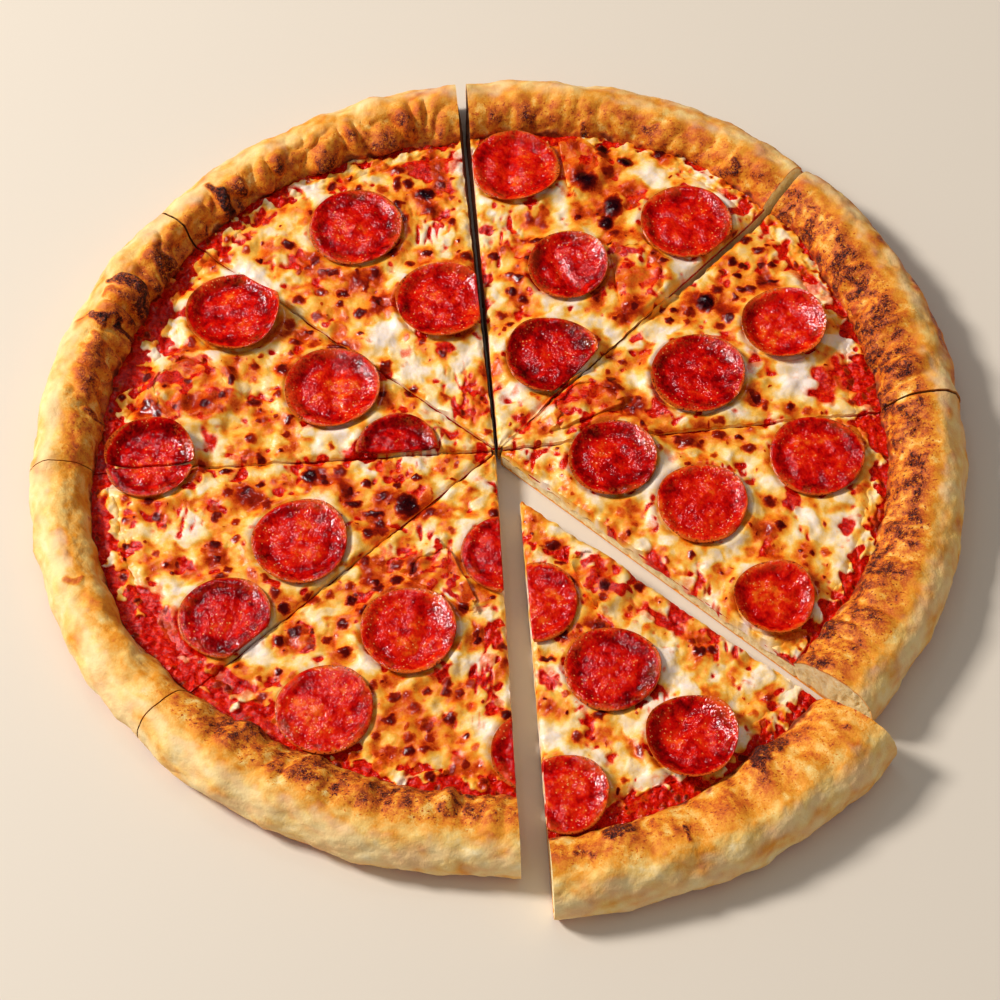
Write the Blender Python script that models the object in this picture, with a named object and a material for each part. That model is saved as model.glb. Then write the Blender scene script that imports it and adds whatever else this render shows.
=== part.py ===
"""Pepperoni pizza, 14 inches across, cut in eight, with one slice slid a little way out.

Lengths are in millimetres and angles in degrees, counted from +X towards +Y.
Every slice is modelled as it was baked, round the point where the cuts cross,
and its empty then slides it outwards and turns it to where it lies.
"""
import math

import bmesh
import bpy
from mathutils import Matrix, Vector

MM = 0.001
CLEARANCE = 0.3

# Crust
PIZZA_RADIUS = 176.4
BASE_THICKNESS = 6.0
RIM_WIDTH = 28.3
RIM_HEIGHT = 20.0
RIM_OUTER_HALF = 12.0
RIM_WAIST = 8.0
RIM_FOOT_RISE = 1.2
FOOT_FILLET = 9.0
RIM_ANGLES = (180, 161, 142, 123, 104, 85, 66, 46, 24, 0, -26, -50)

# Sauce and cheese, in layers over the base
SAUCE_THICKNESS = 1.0
SAUCE_BEAD = 1.2
SAUCE_BAND = 6.0
CHEESE_THICKNESS = 2.4
CHEESE_RELIEF = 0.6
PRESSED_MARGIN = 8.0
SAUCE_TOP = BASE_THICKNESS + CLEARANCE + SAUCE_THICKNESS
CHEESE_BOTTOM = SAUCE_TOP + CLEARANCE
CHEESE_TOP = CHEESE_BOTTOM + CHEESE_THICKNESS

# Pepperoni
PEPPERONI_THICKNESS = 1.8
PEPPERONI_SIDES = 14
PEPPERONI_RINGS = (0.62, 1.0)

# Mesh steps
COLUMNS = 18
CHEESE_ROWS = 11

# Slices clockwise from the top: the angle of the first cut, how far the slice
# is turned and slid, the way it slides (None is along its middle), and its
# length as a share of the others'
SLICES = (
    (95.5, -1.1, 1.5, None, 1.0),
    (47.9, -2.0, 2.0, None, 1.0),
    (8.6, -2.0, 1.2, None, 1.0),
    (-38.7, 0.3, 24.0, -68.2, 0.97),
    (-86.5, -0.5, 1.5, None, 1.0),
    (-136.3, -0.3, 1.5, None, 1.0),
    (-175.8, -0.1, 1.5, None, 1.0),
    (-218.8, 0.0, 1.5, None, 1.0),
)

# Blisters and lumps on the rim: angle, distance from the cuts' crossing, radius, height
BLISTERS = (
    (133.7, 156, 8, 2.4), (125.4, 155, 7, 1.6), (116.2, 150, 6, 1.6), (104.0, 156, 8, 1.2),
    (147.7, 153, 9, 2.8), (155.4, 156, 10, 3.0), (162.7, 155, 10, 3.0), (170.0, 155, 8, 2.0),
    (55.4, 158, 6, 1.6), (66.0, 156, 7, 1.6), (78.2, 154, 6, 1.2),
    (36.0, 158, 9, 1.8), (20.6, 152, 11, 2.8), (-20.8, 146, 10, 2.6), (-30.9, 147, 8, 1.6),
    (-52.5, 144, 8, 2.4), (-76.8, 151, 6, 1.6),
    (-126.5, 148, 7, 2.2), (-114.5, 151, 7, 2.0), (-108.0, 152, 7, 1.8), (-99.3, 150, 9, 2.4),
)

# Pepperoni: name, slice, distance, angle, radius, curl of the edge, outward
# tilt, and trims where another piece overlaps it (direction, distance from its middle)
PEPPERONI = (
    ("1a", 1, 132, 88.2, 18.0, 2.4, 0, ()),
    ("1b", 1, 128, 55.5, 18.3, 2.2, 0, ()),
    ("1c", 1, 87, 72.7, 16.0, 3.0, 4, ()),
    ("1d", 1, 45, 63.7, 18.0, 3.2, 0, ()),
    ("1e", 1, 93, 58.8, 16.5, 0.6, 0, ((190, 4.0),)),
    ("1f", 1, 138, 79.5, 13.0, 0.6, 0, ((190, 2.0),)),
    ("2a", 2, 122, 28.4, 16.5, 4.6, 5, ()),
    ("2b", 2, 82, 24.9, 18.5, 2.8, 0, ()),
    ("2c", 2, 37, 27.5, 13.5, 0.5, 0, ((-62, 3.0),)),
    ("3a", 3, 43, -5.1, 17.2, 2.6, 0, ()),
    ("3b", 3, 120, 0.1, 18.2, 1.6, 0, ()),
    ("3c", 3, 80, -16.4, 17.6, 2.2, 0, ()),
    ("3d", 3, 121, -31.4, 15.4, 3.4, -4, ()),
    ("4a", 4, 81, -66.2, 17.8, 1.8, 0, ()),
    ("4b", 4, 119, -59.5, 17.2, 4.4, 3, ()),
    ("4c", 4, 46, -84.5, 17.0, 1.2, 0, ()),
    ("4d", 4, 125.5, -83.2, 16.0, 2.0, 0, ()),
    ("4e", 4, 44, -54.0, 12.0, 0.5, 0, ((-155, 4.5),)),
    ("5a", 5, 85, -111.4, 18.2, 2.4, 0, ()),
    ("5b", 5, 127, -118.4, 18.3, 1.2, 0, ()),
    ("5c", 5, 46, -84.5, 17.0, 1.2, 0, ()),
    ("5d", 5, 129, -83.0, 16.6, 2.0, 0, ()),
    ("5e", 5, 60, -107.5, 14.5, 0.6, 0, ((26, 7.0), (-122, 6.5))),
    ("6a", 6, 83, -149.6, 18.4, 2.0, 0, ()),
    ("6b", 6, 123, -142.8, 17.4, 1.2, 0, ()),
    ("6c", 6, 130, -177.2, 17.0, 1.8, 0, ()),
    ("7a", 7, 118, 149.1, 18.6, 4.0, -3, ()),
    ("7b", 7, 67, 157.3, 18.6, 2.6, 0, ()),
    ("7c", 7, 130, -177.2, 17.0, 4.8, 0, ()),
    ("7d", 7, 36, -176.0, 16.0, 2.4, 0, ()),
    ("7e", 7, 119, 167.5, 15.5, 0.6, 0, ()),
    ("8a", 8, 116, 118.5, 18.8, 1.8, 0, ()),
    ("8b", 8, 69, 107.6, 18.2, 3.0, 0, ()),
)
ACROSS_THE_CUT = ("3a",)


def wave(angle, *terms):
    """Sum of cosines round the pizza: each term is its count, size and phase."""
    return sum(size * math.cos(math.radians(count * angle - phase)) for count, size, phase in terms)


def outline_radius(angle):
    """Outermost reach of the crust."""
    return PIZZA_RADIUS + wave(angle, (1, 1.9, 13), (2, 1.8, 84), (3, 1.0, -157), (4, 0.6, -164), (17, 0.4, 0))


def rim_foot(angle):
    """Distance at which the rim rises from the base."""
    width = RIM_WIDTH + wave(angle, (1, 5.5, -42), (2, 1.5, -118), (5, 2.3, 127))
    return outline_radius(angle) - width


def cheese_edge(angle):
    """Ragged outer edge of the cheese, inside the band of bare sauce."""
    band = SAUCE_BAND + wave(angle, (1, 1.8, -150), (5, 1.6, 70), (9, 1.3, 20), (14, 1.0, 130))
    return rim_foot(angle) - max(band, 3.0)


def rim_height(angle):
    """Height of the rim's crown."""
    return RIM_HEIGHT + wave(angle, (2, 0.7, 30), (5, 0.6, 100), (9, 0.4, 10))


def on_circle(distance, angle):
    """Point at a distance and angle from the cuts' crossing."""
    return Vector((distance * math.cos(math.radians(angle)), distance * math.sin(math.radians(angle))))


def blister_rise(angle, distance):
    """How far the blisters lift the rim at a point."""
    here = on_circle(distance, angle)
    rise = 0.0
    for blister_angle, blister_distance, radius, height in BLISTERS:
        gap = (here - on_circle(blister_distance, blister_angle)).length / radius
        rise += height * math.exp(-gap * gap)
    return rise


def rim_points(angle):
    """Section of the rim from its inner foot over the crown to the bottom edge."""
    reach = outline_radius(angle)
    foot = rim_foot(angle)
    crown = reach - RIM_OUTER_HALF
    inner_half = crown - foot
    foot_height = BASE_THICKNESS + RIM_FOOT_RISE
    top = rim_height(angle)
    lowest = math.sin(math.radians(-RIM_ANGLES[-1]))
    points = []
    for turn in RIM_ANGLES:
        across = math.cos(math.radians(turn))
        upright = math.sin(math.radians(turn))
        if turn >= 90:
            distance = crown + inner_half * across
            height = foot_height + (top - foot_height) * upright ** 1.25
        else:
            distance = crown + RIM_OUTER_HALF * across
            side = top - RIM_WAIST if turn > 0 else RIM_WAIST / lowest
            height = RIM_WAIST + side * upright
        swell = blister_rise(angle, distance) * max(upright, 0.0)
        points.append((distance + swell * across * 0.3, max(height + swell, 0.0)))
    return points


def inner_rows(angle):
    """Distances of the rows that base and sauce share, out to the rim's foot."""
    foot = rim_foot(angle)
    flat = foot - FOOT_FILLET
    return (0.0, flat * 0.35, flat * 0.7, flat, foot)


def base_height(angle, distance):
    """Top of the dough inside the rim, with a fillet up to the rim's foot."""
    flat = rim_foot(angle) - FOOT_FILLET
    share = max(0.0, (distance - flat) / FOOT_FILLET)
    return BASE_THICKNESS + RIM_FOOT_RISE * share


def crust_section(angle):
    """Closed section of the crust: base top, rim and flat bottom."""
    base = [(row, base_height(angle, row)) for row in inner_rows(angle)[:-1]]
    return base + rim_points(angle) + [(0.0, 0.0)]


def sauce_section(angle):
    """Closed section of the sauce, thicker in the bare band outside the cheese."""
    bare = cheese_edge(angle) + 2 * CLEARANCE
    foot = rim_foot(angle)
    middle = 0.5 * (bare + foot)
    top = [(0.0, SAUCE_TOP), (bare * 0.35, SAUCE_TOP), (bare * 0.7, SAUCE_TOP), (bare, SAUCE_TOP)]
    top.append((middle, SAUCE_TOP + SAUCE_BEAD))
    edge = base_height(angle, foot) + CLEARANCE
    top.append((foot, edge + 0.7 * SAUCE_THICKNESS))
    bottom = [(row, base_height(angle, row) + CLEARANCE) for row in reversed(inner_rows(angle))]
    return top + bottom


def free_of_pepperoni(point):
    """1 where the cheese is bare, 0 where a pepperoni presses it flat."""
    room = 1.0
    for name, number, distance, angle, radius, *shape in PEPPERONI:
        gap = (point - on_circle(distance, angle)).length - radius - PRESSED_MARGIN
        room = min(room, max(0.0, gap / PRESSED_MARGIN))
    return room


def cheese_height(point):
    """Top of the cheese, bumpy where nothing lies on it."""
    x, y = point
    bumps = math.sin(0.19 * x + 1.3) * math.cos(0.17 * y - 0.4) + 0.6 * math.sin(0.31 * (x - y) + 2.0)
    return CHEESE_TOP + CHEESE_RELIEF * bumps * free_of_pepperoni(point)


def cheese_section(angle):
    """Closed section of the cheese: bumpy top, thin edge and level underside."""
    edge = cheese_edge(angle)
    top = []
    for row in range(CHEESE_ROWS):
        distance = (edge - 3.0) * row / (CHEESE_ROWS - 1)
        top.append((distance, cheese_height(on_circle(distance, angle))))
    side = [(edge, CHEESE_BOTTOM + 0.5 * CHEESE_THICKNESS), (edge - 0.6, CHEESE_BOTTOM)]
    return top + side + [(edge * 0.5, CHEESE_BOTTOM), (0.0, CHEESE_BOTTOM)]


def material(name, colour, roughness):
    """Plain Principled material."""
    made = bpy.data.materials.new(name)
    made.use_nodes = True
    shader = made.node_tree.nodes["Principled BSDF"]
    shader.inputs["Base Color"].default_value = (*colour, 1.0)
    shader.inputs["Roughness"].default_value = roughness
    shader.inputs["Metallic"].default_value = 0.0
    return made


def add_object(name, mesh_data, finish, parent):
    """Object of a mesh, under its slice's empty."""
    mesh = bpy.data.meshes.new(name)
    mesh_data.to_mesh(mesh)
    mesh_data.free()
    mesh.materials.append(finish)
    made = bpy.data.objects.new(name, mesh)
    bpy.context.collection.objects.link(made)
    made.parent = parent
    return made


def sweep_section(section, first, last, length):
    """Solid wedge: a closed section swept from one cut to the next round the crossing.

    The section's first and last points lie on the crossing's upright line, and
    its distances from there are drawn to the slice's length.
    """
    shape = bmesh.new()
    profiles = [section(first + (last - first) * step / COLUMNS) for step in range(COLUMNS + 1)]
    tip_top = shape.verts.new((0.0, 0.0, profiles[0][0][1] * MM))
    tip_bottom = shape.verts.new((0.0, 0.0, profiles[0][-1][1] * MM))
    columns = []
    for step, profile in enumerate(profiles):
        angle = first + (last - first) * step / COLUMNS
        column = [tip_top]
        for distance, height in profile[1:-1]:
            spot = on_circle(distance * length, angle)
            column.append(shape.verts.new((spot.x * MM, spot.y * MM, height * MM)))
        column.append(tip_bottom)
        columns.append(column)
    for here, there in zip(columns, columns[1:]):
        for low in range(len(here) - 1):
            corners = [here[low], here[low + 1], there[low + 1], there[low]]
            shape.faces.new(list(dict.fromkeys(corners)))
    shape.faces.new(list(reversed(columns[0])))
    shape.faces.new(columns[-1])
    bmesh.ops.recalc_face_normals(shape, faces=shape.faces)
    return shape


def pepperoni_disc(radius, curl):
    """Round slice of sausage with its edge curled up, lying at height zero."""
    shape = bmesh.new()
    levels = []
    for lift in (0.0, PEPPERONI_THICKNESS):
        rings = [[shape.verts.new((0.0, 0.0, lift * MM))]]
        for share in PEPPERONI_RINGS:
            height = (lift + curl * share ** 3) * MM
            ring = []
            for side in range(PEPPERONI_SIDES):
                spot = on_circle(radius * share, 360.0 * side / PEPPERONI_SIDES)
                ring.append(shape.verts.new((spot.x * MM, spot.y * MM, height)))
            rings.append(ring)
        levels.append(rings)
    for rings in levels:
        centre, inner, outer = rings[0][0], rings[1], rings[2]
        for side in range(PEPPERONI_SIDES):
            after = (side + 1) % PEPPERONI_SIDES
            shape.faces.new((centre, inner[side], inner[after]))
            shape.faces.new((inner[side], outer[side], outer[after], inner[after]))
    for side in range(PEPPERONI_SIDES):
        after = (side + 1) % PEPPERONI_SIDES
        lower, upper = levels[0][2], levels[1][2]
        shape.faces.new((lower[side], lower[after], upper[after], upper[side]))
    bmesh.ops.recalc_face_normals(shape, faces=shape.faces)
    return shape


def cut_away(shape, point, direction):
    """Remove what lies beyond a plane and close the cut face."""
    everything = shape.verts[:] + shape.edges[:] + shape.faces[:]
    result = bmesh.ops.bisect_plane(
        shape, geom=everything, dist=1e-7, plane_co=point, plane_no=direction, clear_outer=True)
    rim = [item for item in result["geom_cut"] if isinstance(item, bmesh.types.BMEdge)]
    if rim:
        bmesh.ops.edgeloop_fill(shape, edges=rim)
        bmesh.ops.recalc_face_normals(shape, faces=shape.faces)


def add_pepperoni(row, cuts, finish, parent):
    """One pepperoni of the list, on the cheese of its slice.

    It is shaped round its own middle, its X axis pointing away from the crossing,
    and cut through where a cut between two slices goes through it.
    """
    name, number, distance, angle, radius, curl, tilt, trims = row
    shape = pepperoni_disc(radius, curl)
    bmesh.ops.rotate(shape, matrix=Matrix.Rotation(math.radians(-tilt), 3, "Y"), verts=shape.verts)
    for direction, reach in trims:
        away = on_circle(1.0, direction - angle).to_3d()
        cut_away(shape, away * reach * MM, away)
    if name not in ACROSS_THE_CUT:
        for cut, outward in zip(cuts, (90.0, -90.0)):
            away = on_circle(1.0, cut + outward - angle).to_3d()
            cut_away(shape, Vector((-distance * MM, 0.0, 0.0)), away)
    lowest = min(vertex.co.z for vertex in shape.verts)
    middle = on_circle(distance, angle) * MM
    made = add_object("pepperoni_" + name, shape, finish, parent)
    made.location = (middle.x, middle.y, (CHEESE_TOP + CLEARANCE) * MM - lowest)
    made.rotation_euler = (0.0, 0.0, math.radians(angle))


def placement(number):
    """Cuts on both sides of a slice, its turn, how it is slid outwards, and its length."""
    first, turn, slide, way, length = SLICES[number - 1]
    last = SLICES[number % len(SLICES)][0]
    if last > first:
        last -= 360.0
    middle = 0.5 * (first + last)
    shift = on_circle(slide, middle if way is None else way)
    return (first, last), turn, shift, length


def centre_of_outline():
    """Middle of the box round all slices as they lie."""
    spots = []
    for number in range(1, len(SLICES) + 1):
        (first, last), turn, shift, length = placement(number)
        for step in range(COLUMNS + 1):
            angle = first + (last - first) * step / COLUMNS
            spots.append(on_circle(outline_radius(angle) * length, angle + turn) + shift)
    across = [spot.x for spot in spots]
    along = [spot.y for spot in spots]
    return Vector((0.5 * (min(across) + max(across)), 0.5 * (min(along) + max(along))))


def add_slice(number, centre, finishes):
    """One slice: its three layers and its pepperoni, under an empty that places them."""
    cuts, turn, shift, length = placement(number)
    empty = bpy.data.objects.new(f"slice_{number}", None)
    bpy.context.collection.objects.link(empty)
    empty.location = ((shift.x - centre.x) * MM, (shift.y - centre.y) * MM, 0.0)
    empty.rotation_euler = (0.0, 0.0, math.radians(turn))
    layers = {"crust": crust_section, "sauce": sauce_section, "cheese": cheese_section}
    for layer, section in layers.items():
        add_object(f"{layer}_{number}", sweep_section(section, *cuts, length), finishes[layer], empty)
    for row in PEPPERONI:
        if row[1] == number:
            add_pepperoni(row, cuts, finishes["pepperoni"], empty)


def build():
    """Make the whole pizza."""
    for existing in list(bpy.data.objects):
        bpy.data.objects.remove(existing, do_unlink=True)
    finishes = {
        "crust": material("baked_crust", (0.62, 0.33, 0.10), 0.75),
        "sauce": material("tomato_sauce", (0.42, 0.02, 0.01), 0.3),
        "cheese": material("melted_cheese", (0.85, 0.55, 0.18), 0.4),
        "pepperoni": material("pepperoni", (0.50, 0.03, 0.01), 0.35),
    }
    centre = centre_of_outline()
    for number in range(1, len(SLICES) + 1):
        add_slice(number, centre, finishes)


build()
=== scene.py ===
"""Looks of the pepperoni pizza: puffed rim, sauce, melted cheese and curled pepperoni.

Lengths are in millimetres and angles in degrees, counted from +X towards +Y,
in the pizza as it was baked, round the point where its cuts cross. Each slice
is then turned and slid to where it lies. Masks of browning, sauce and toasting
are worked out on square and round grids and read at every vertex, and the
materials turn them into colours.
"""
import math
from collections import namedtuple

import bmesh
import bpy
import numpy as np
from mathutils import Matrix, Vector


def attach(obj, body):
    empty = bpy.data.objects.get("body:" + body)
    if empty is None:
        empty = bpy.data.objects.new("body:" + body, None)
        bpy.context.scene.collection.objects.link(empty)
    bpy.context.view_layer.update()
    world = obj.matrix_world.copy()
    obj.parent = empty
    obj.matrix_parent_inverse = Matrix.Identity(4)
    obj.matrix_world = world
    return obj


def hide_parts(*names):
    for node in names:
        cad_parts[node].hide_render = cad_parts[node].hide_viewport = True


MM = 0.001
CLEARANCE = 0.3

# Waves of the crust's outline, the rim and the band of bare sauce: count, size, phase
OUTLINE_WAVES = ((1, 1.9, 13), (2, 1.8, 84), (3, 1.0, -157), (4, 0.6, -164), (17, 0.4, 0))
RIM_WIDTH_WAVES = ((1, 5.5, -42), (2, 1.5, -118), (5, 2.3, 127))
RIM_HEIGHT_WAVES = ((2, 0.7, 30), (5, 0.6, 100), (9, 0.4, 10))
BAND_WAVES = ((1, 1.8, -150), (5, 1.6, 70), (9, 1.3, 20), (14, 1.0, 130))

# Crust, as in the solids
PIZZA_RADIUS = 176.4
BASE_THICKNESS = 6.0
RIM_WIDTH = 28.3
RIM_HEIGHT = 20.0
RIM_OUTER_HALF = 12.0
RIM_WAIST = 8.0
RIM_FOOT_RISE = 1.2
FOOT_FILLET = 9.0
LOWEST_TURN = 50.0

# Sauce and cheese, as in the solids
SAUCE_THICKNESS = 1.0
SAUCE_BEAD = 1.2
SAUCE_BAND = 6.0
LEAST_SAUCE_BAND = 3.0
CHEESE_THICKNESS = 2.4
SAUCE_TOP = BASE_THICKNESS + CLEARANCE + SAUCE_THICKNESS
CHEESE_BOTTOM = SAUCE_TOP + CLEARANCE
CHEESE_TOP = CHEESE_BOTTOM + CHEESE_THICKNESS
PEPPERONI_THICKNESS = 1.8

# Slices clockwise from the top: the angle of the first cut, how far the slice
# is turned and slid, the way it slides (None is along its middle), and its
# length as a share of the others'
SLICES = (
    (95.5, -1.1, 1.5, None, 1.0),
    (47.9, -2.0, 2.0, None, 1.0),
    (8.6, -2.0, 1.2, None, 1.0),
    (-38.7, 0.3, 24.0, -68.2, 0.97),
    (-86.5, -0.5, 1.5, None, 1.0),
    (-136.3, -0.3, 1.5, None, 1.0),
    (-175.8, -0.1, 1.5, None, 1.0),
    (-218.8, 0.0, 1.5, None, 1.0),
)

# Blisters and lumps on the rim: angle, distance from the cuts' crossing, radius, height
BLISTERS = (
    (133.7, 156, 8, 2.4), (125.4, 155, 7, 1.6), (116.2, 150, 6, 1.6), (104.0, 156, 8, 1.2),
    (147.7, 153, 9, 2.8), (155.4, 156, 10, 3.0), (162.7, 155, 10, 3.0), (170.0, 155, 8, 2.0),
    (55.4, 158, 6, 1.6), (66.0, 156, 7, 1.6), (78.2, 154, 6, 1.2),
    (36.0, 158, 9, 1.8), (20.6, 152, 11, 2.8), (-20.8, 146, 10, 2.6), (-30.9, 147, 8, 1.6),
    (-52.5, 144, 8, 2.4), (-76.8, 151, 6, 1.6),
    (-126.5, 148, 7, 2.2), (-114.5, 151, 7, 2.0), (-108.0, 152, 7, 1.8), (-99.3, 150, 9, 2.4),
)

# Pepperoni: name, slice, distance, angle, radius, curl of the edge, outward
# tilt, and trims where another piece overlaps it (direction, distance from its middle)
Disc = namedtuple("Disc", "name number distance angle radius curl tilt trims")
PEPPERONI = tuple(Disc(*row) for row in (
    ("1a", 1, 132, 88.2, 18.0, 2.4, 0, ()),
    ("1b", 1, 128, 55.5, 18.3, 2.2, 0, ()),
    ("1c", 1, 87, 72.7, 16.0, 3.0, 4, ()),
    ("1d", 1, 45, 63.7, 18.0, 3.2, 0, ()),
    ("1e", 1, 93, 58.8, 16.5, 0.6, 0, ((190, 4.0),)),
    ("1f", 1, 138, 79.5, 13.0, 0.6, 0, ((190, 2.0),)),
    ("2a", 2, 122, 28.4, 16.5, 4.6, 5, ()),
    ("2b", 2, 82, 24.9, 18.5, 2.8, 0, ()),
    ("2c", 2, 37, 27.5, 13.5, 0.5, 0, ((-62, 3.0),)),
    ("3a", 3, 43, -5.1, 17.2, 2.6, 0, ()),
    ("3b", 3, 120, 0.1, 18.2, 1.6, 0, ()),
    ("3c", 3, 80, -16.4, 17.6, 2.2, 0, ()),
    ("3d", 3, 121, -31.4, 15.4, 3.4, -4, ()),
    ("4a", 4, 81, -66.2, 17.8, 1.8, 0, ()),
    ("4b", 4, 119, -59.5, 17.2, 4.4, 3, ()),
    ("4c", 4, 46, -84.5, 17.0, 1.2, 0, ()),
    ("4d", 4, 125.5, -83.2, 16.0, 2.0, 0, ()),
    ("4e", 4, 44, -54.0, 12.0, 0.5, 0, ((-155, 4.5),)),
    ("5a", 5, 85, -111.4, 18.2, 2.4, 0, ()),
    ("5b", 5, 127, -118.4, 18.3, 1.2, 0, ()),
    ("5c", 5, 46, -84.5, 17.0, 1.2, 0, ()),
    ("5d", 5, 129, -83.0, 16.6, 2.0, 0, ()),
    ("5e", 5, 60, -107.5, 14.5, 0.6, 0, ((26, 7.0), (-122, 6.5))),
    ("6a", 6, 83, -149.6, 18.4, 2.0, 0, ()),
    ("6b", 6, 123, -142.8, 17.4, 1.2, 0, ()),
    ("6c", 6, 130, -177.2, 17.0, 1.8, 0, ()),
    ("7a", 7, 118, 149.1, 18.6, 4.0, -3, ()),
    ("7b", 7, 67, 157.3, 18.6, 2.6, 0, ()),
    ("7c", 7, 130, -177.2, 17.0, 4.8, 0, ()),
    ("7d", 7, 36, -176.0, 16.0, 2.4, 0, ()),
    ("7e", 7, 119, 167.5, 15.5, 0.6, 0, ()),
    ("8a", 8, 116, 118.5, 18.8, 1.8, 0, ()),
    ("8b", 8, 69, 107.6, 18.2, 3.0, 0, ()),
))
ACROSS_THE_CUT = ("3a",)
UNDER_CHEESE = ("1e", "1f", "2c", "4e", "5e", "7e")

# Camera, at the photograph's viewing angle
CAMERA_ELEVATION = 58.2
CAMERA_DISTANCE = 1182.0
CAMERA_TARGET = (1.2, -16.6)
CAMERA_FOCAL_PIXELS = 3113.0
PHOTO_PIXELS = 1000.0
SENSOR = 36.0
CAMERA_REACH = 20.0

# Photograph over the pizza: its pixels in a millimetre, how much shorter they are down the
# picture, and the heights at which its places on the cheese and on the rim lie
PIXELS_PER_MM = 2.63
ROWS_SHARE = 0.85
CHEESE_LEVEL = 11.0
RIM_LEVEL = RIM_HEIGHT - 2.0

# Floor and lamps in metres and watts; a lamp is its place, size, power and colour
FLOOR_SIZE = 40.0
FLOOR_DROP = 0.0005
KEY_LAMP = ((-1.95, 0.6, 1.7), 0.55, 78.0, (1.0, 0.97, 0.93))
GLINT_LAMP = ((-0.3, 0.65, 1.2), 0.09, 3.2, (1.0, 1.0, 1.0))
SURROUND_COLOUR = (1.0, 0.98, 0.95, 1.0)
SURROUND_STRENGTH = 0.34

# Square grid of the masks
PITCH = 0.4
CELLS = 1000
HALF = 0.5 * PITCH * CELLS

# Round grid of the rim: steps round the pizza and up the rim's section, its way up that section
# and the distance of the rim's middle
RIM_STEPS = 1800
SECTION_STEPS = 96
SECTION_LENGTH = 60.0
RIM_MIDDLE = 165.0

# Mesh steps
DETAIL = 1.0
COLUMNS = int(176 * DETAIL)
CHEESE_ROWS = int(208 * DETAIL)
SAUCE_ROWS = int(24 * DETAIL)
RIM_ROWS = int(72 * DETAIL)
DISC_COLUMNS = int(72 * DETAIL)
DISC_ROWS = int(20 * DETAIL)
HIDDEN_COLUMNS = 4
HIDDEN_SAUCE_ROWS = 83
BASE_STEP = 1.2
SHARP_ANGLE = 50.0


def srgb(red, green, blue):
    """Linear colour of a screen colour given from 0 to 255."""
    shares = [channel / 255.0 for channel in (red, green, blue)]
    return tuple(s / 12.92 if s <= 0.04045 else ((s + 0.055) / 1.055) ** 2.4 for s in shares) + (1.0,)


def smoothstep(low, high, value):
    """0 below low, 1 above high, and smooth between."""
    share = np.clip((value - low) / (high - low), 0.0, 1.0)
    return share * share * (3.0 - 2.0 * share)


def wave(angle, *terms):
    """Sum of cosines round the pizza: each term is its count, size and phase."""
    return sum(size * np.cos(np.radians(count * angle - phase)) for count, size, phase in terms)


def outline_radius(angle):
    """Outermost reach of the crust."""
    return PIZZA_RADIUS + wave(angle, *OUTLINE_WAVES)


def rim_foot(angle):
    """Distance at which the rim rises from the base."""
    return outline_radius(angle) - (RIM_WIDTH + wave(angle, *RIM_WIDTH_WAVES))


def cheese_edge(angle):
    """Ragged outer edge of the cheese, inside the band of bare sauce."""
    return rim_foot(angle) - np.maximum(SAUCE_BAND + wave(angle, *BAND_WAVES), LEAST_SAUCE_BAND)


def rim_height(angle):
    """Height of the rim's crown."""
    return RIM_HEIGHT + wave(angle, *RIM_HEIGHT_WAVES)


def on_circle(distance, angle):
    """Point at a distance and angle from the cuts' crossing."""
    return np.array([distance * math.cos(math.radians(angle)), distance * math.sin(math.radians(angle))])


def cuts_of(number):
    """Angles of the cuts on both sides of a slice."""
    first = SLICES[number - 1][0]
    last = SLICES[number % len(SLICES)][0]
    return first, last - 360.0 if last > first else last


def inward_of(number):
    """Unit steps from both cuts into a slice."""
    first, last = cuts_of(number)
    return on_circle(1.0, first - 90.0), on_circle(1.0, last + 90.0)


def slide_of(number):
    """How a slice is slid outwards."""
    first, last = cuts_of(number)
    slide, way = SLICES[number - 1][2:4]
    return on_circle(slide, 0.5 * (first + last) if way is None else way)


def turn_of(number):
    """How far a slice is turned."""
    return SLICES[number - 1][1]


def length_of(number):
    """Length of a slice as a share of the others'."""
    return SLICES[number - 1][4]


def ring(reach, angles):
    """Points at distances and angles from a middle."""
    return np.stack([reach * np.cos(np.radians(angles)), reach * np.sin(np.radians(angles))], axis=-1)


def turned(points, degrees):
    """Points of the plane turned round the crossing."""
    cosine, sine = math.cos(math.radians(degrees)), math.sin(math.radians(degrees))
    return np.stack([points[..., 0] * cosine - points[..., 1] * sine,
                     points[..., 0] * sine + points[..., 1] * cosine], axis=-1)


def along_rim(stretches, least, angle):
    """Strength round the pizza: the least of it, and more in stretches.

    A stretch is given by its middle angle, half its width and its value.
    """
    strength = np.full_like(angle, least)
    for middle, half, value in stretches:
        off = np.abs((angle - middle + 180.0) % 360.0 - 180.0)
        strength = np.maximum(strength, value * smoothstep(half + 8.0, half - 4.0, off))
    return strength


def centre_of_outline():
    """Middle of the box round all slices as they lie."""
    spots = []
    for number in range(1, len(SLICES) + 1):
        angles = np.linspace(*cuts_of(number), 19)
        reach = outline_radius(angles) * length_of(number)
        spots.append(turned(ring(reach, angles), turn_of(number)) + slide_of(number))
    spots = np.concatenate(spots)
    return 0.5 * (spots.min(axis=0) + spots.max(axis=0))


CENTRE = centre_of_outline()


def as_it_lies(points, number, length):
    """Points of a slice from where it was baked to where it lies, drawn to a share of their length."""
    flat = turned(points[:, :2] * length, turn_of(number)) + slide_of(number) - CENTRE
    return np.column_stack([flat, points[:, 2]])


def on_grid(disc):
    """Middle of a pepperoni on its slice at full length, as the masks hold it."""
    return on_circle(disc.distance / length_of(disc.number), disc.angle)


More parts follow.
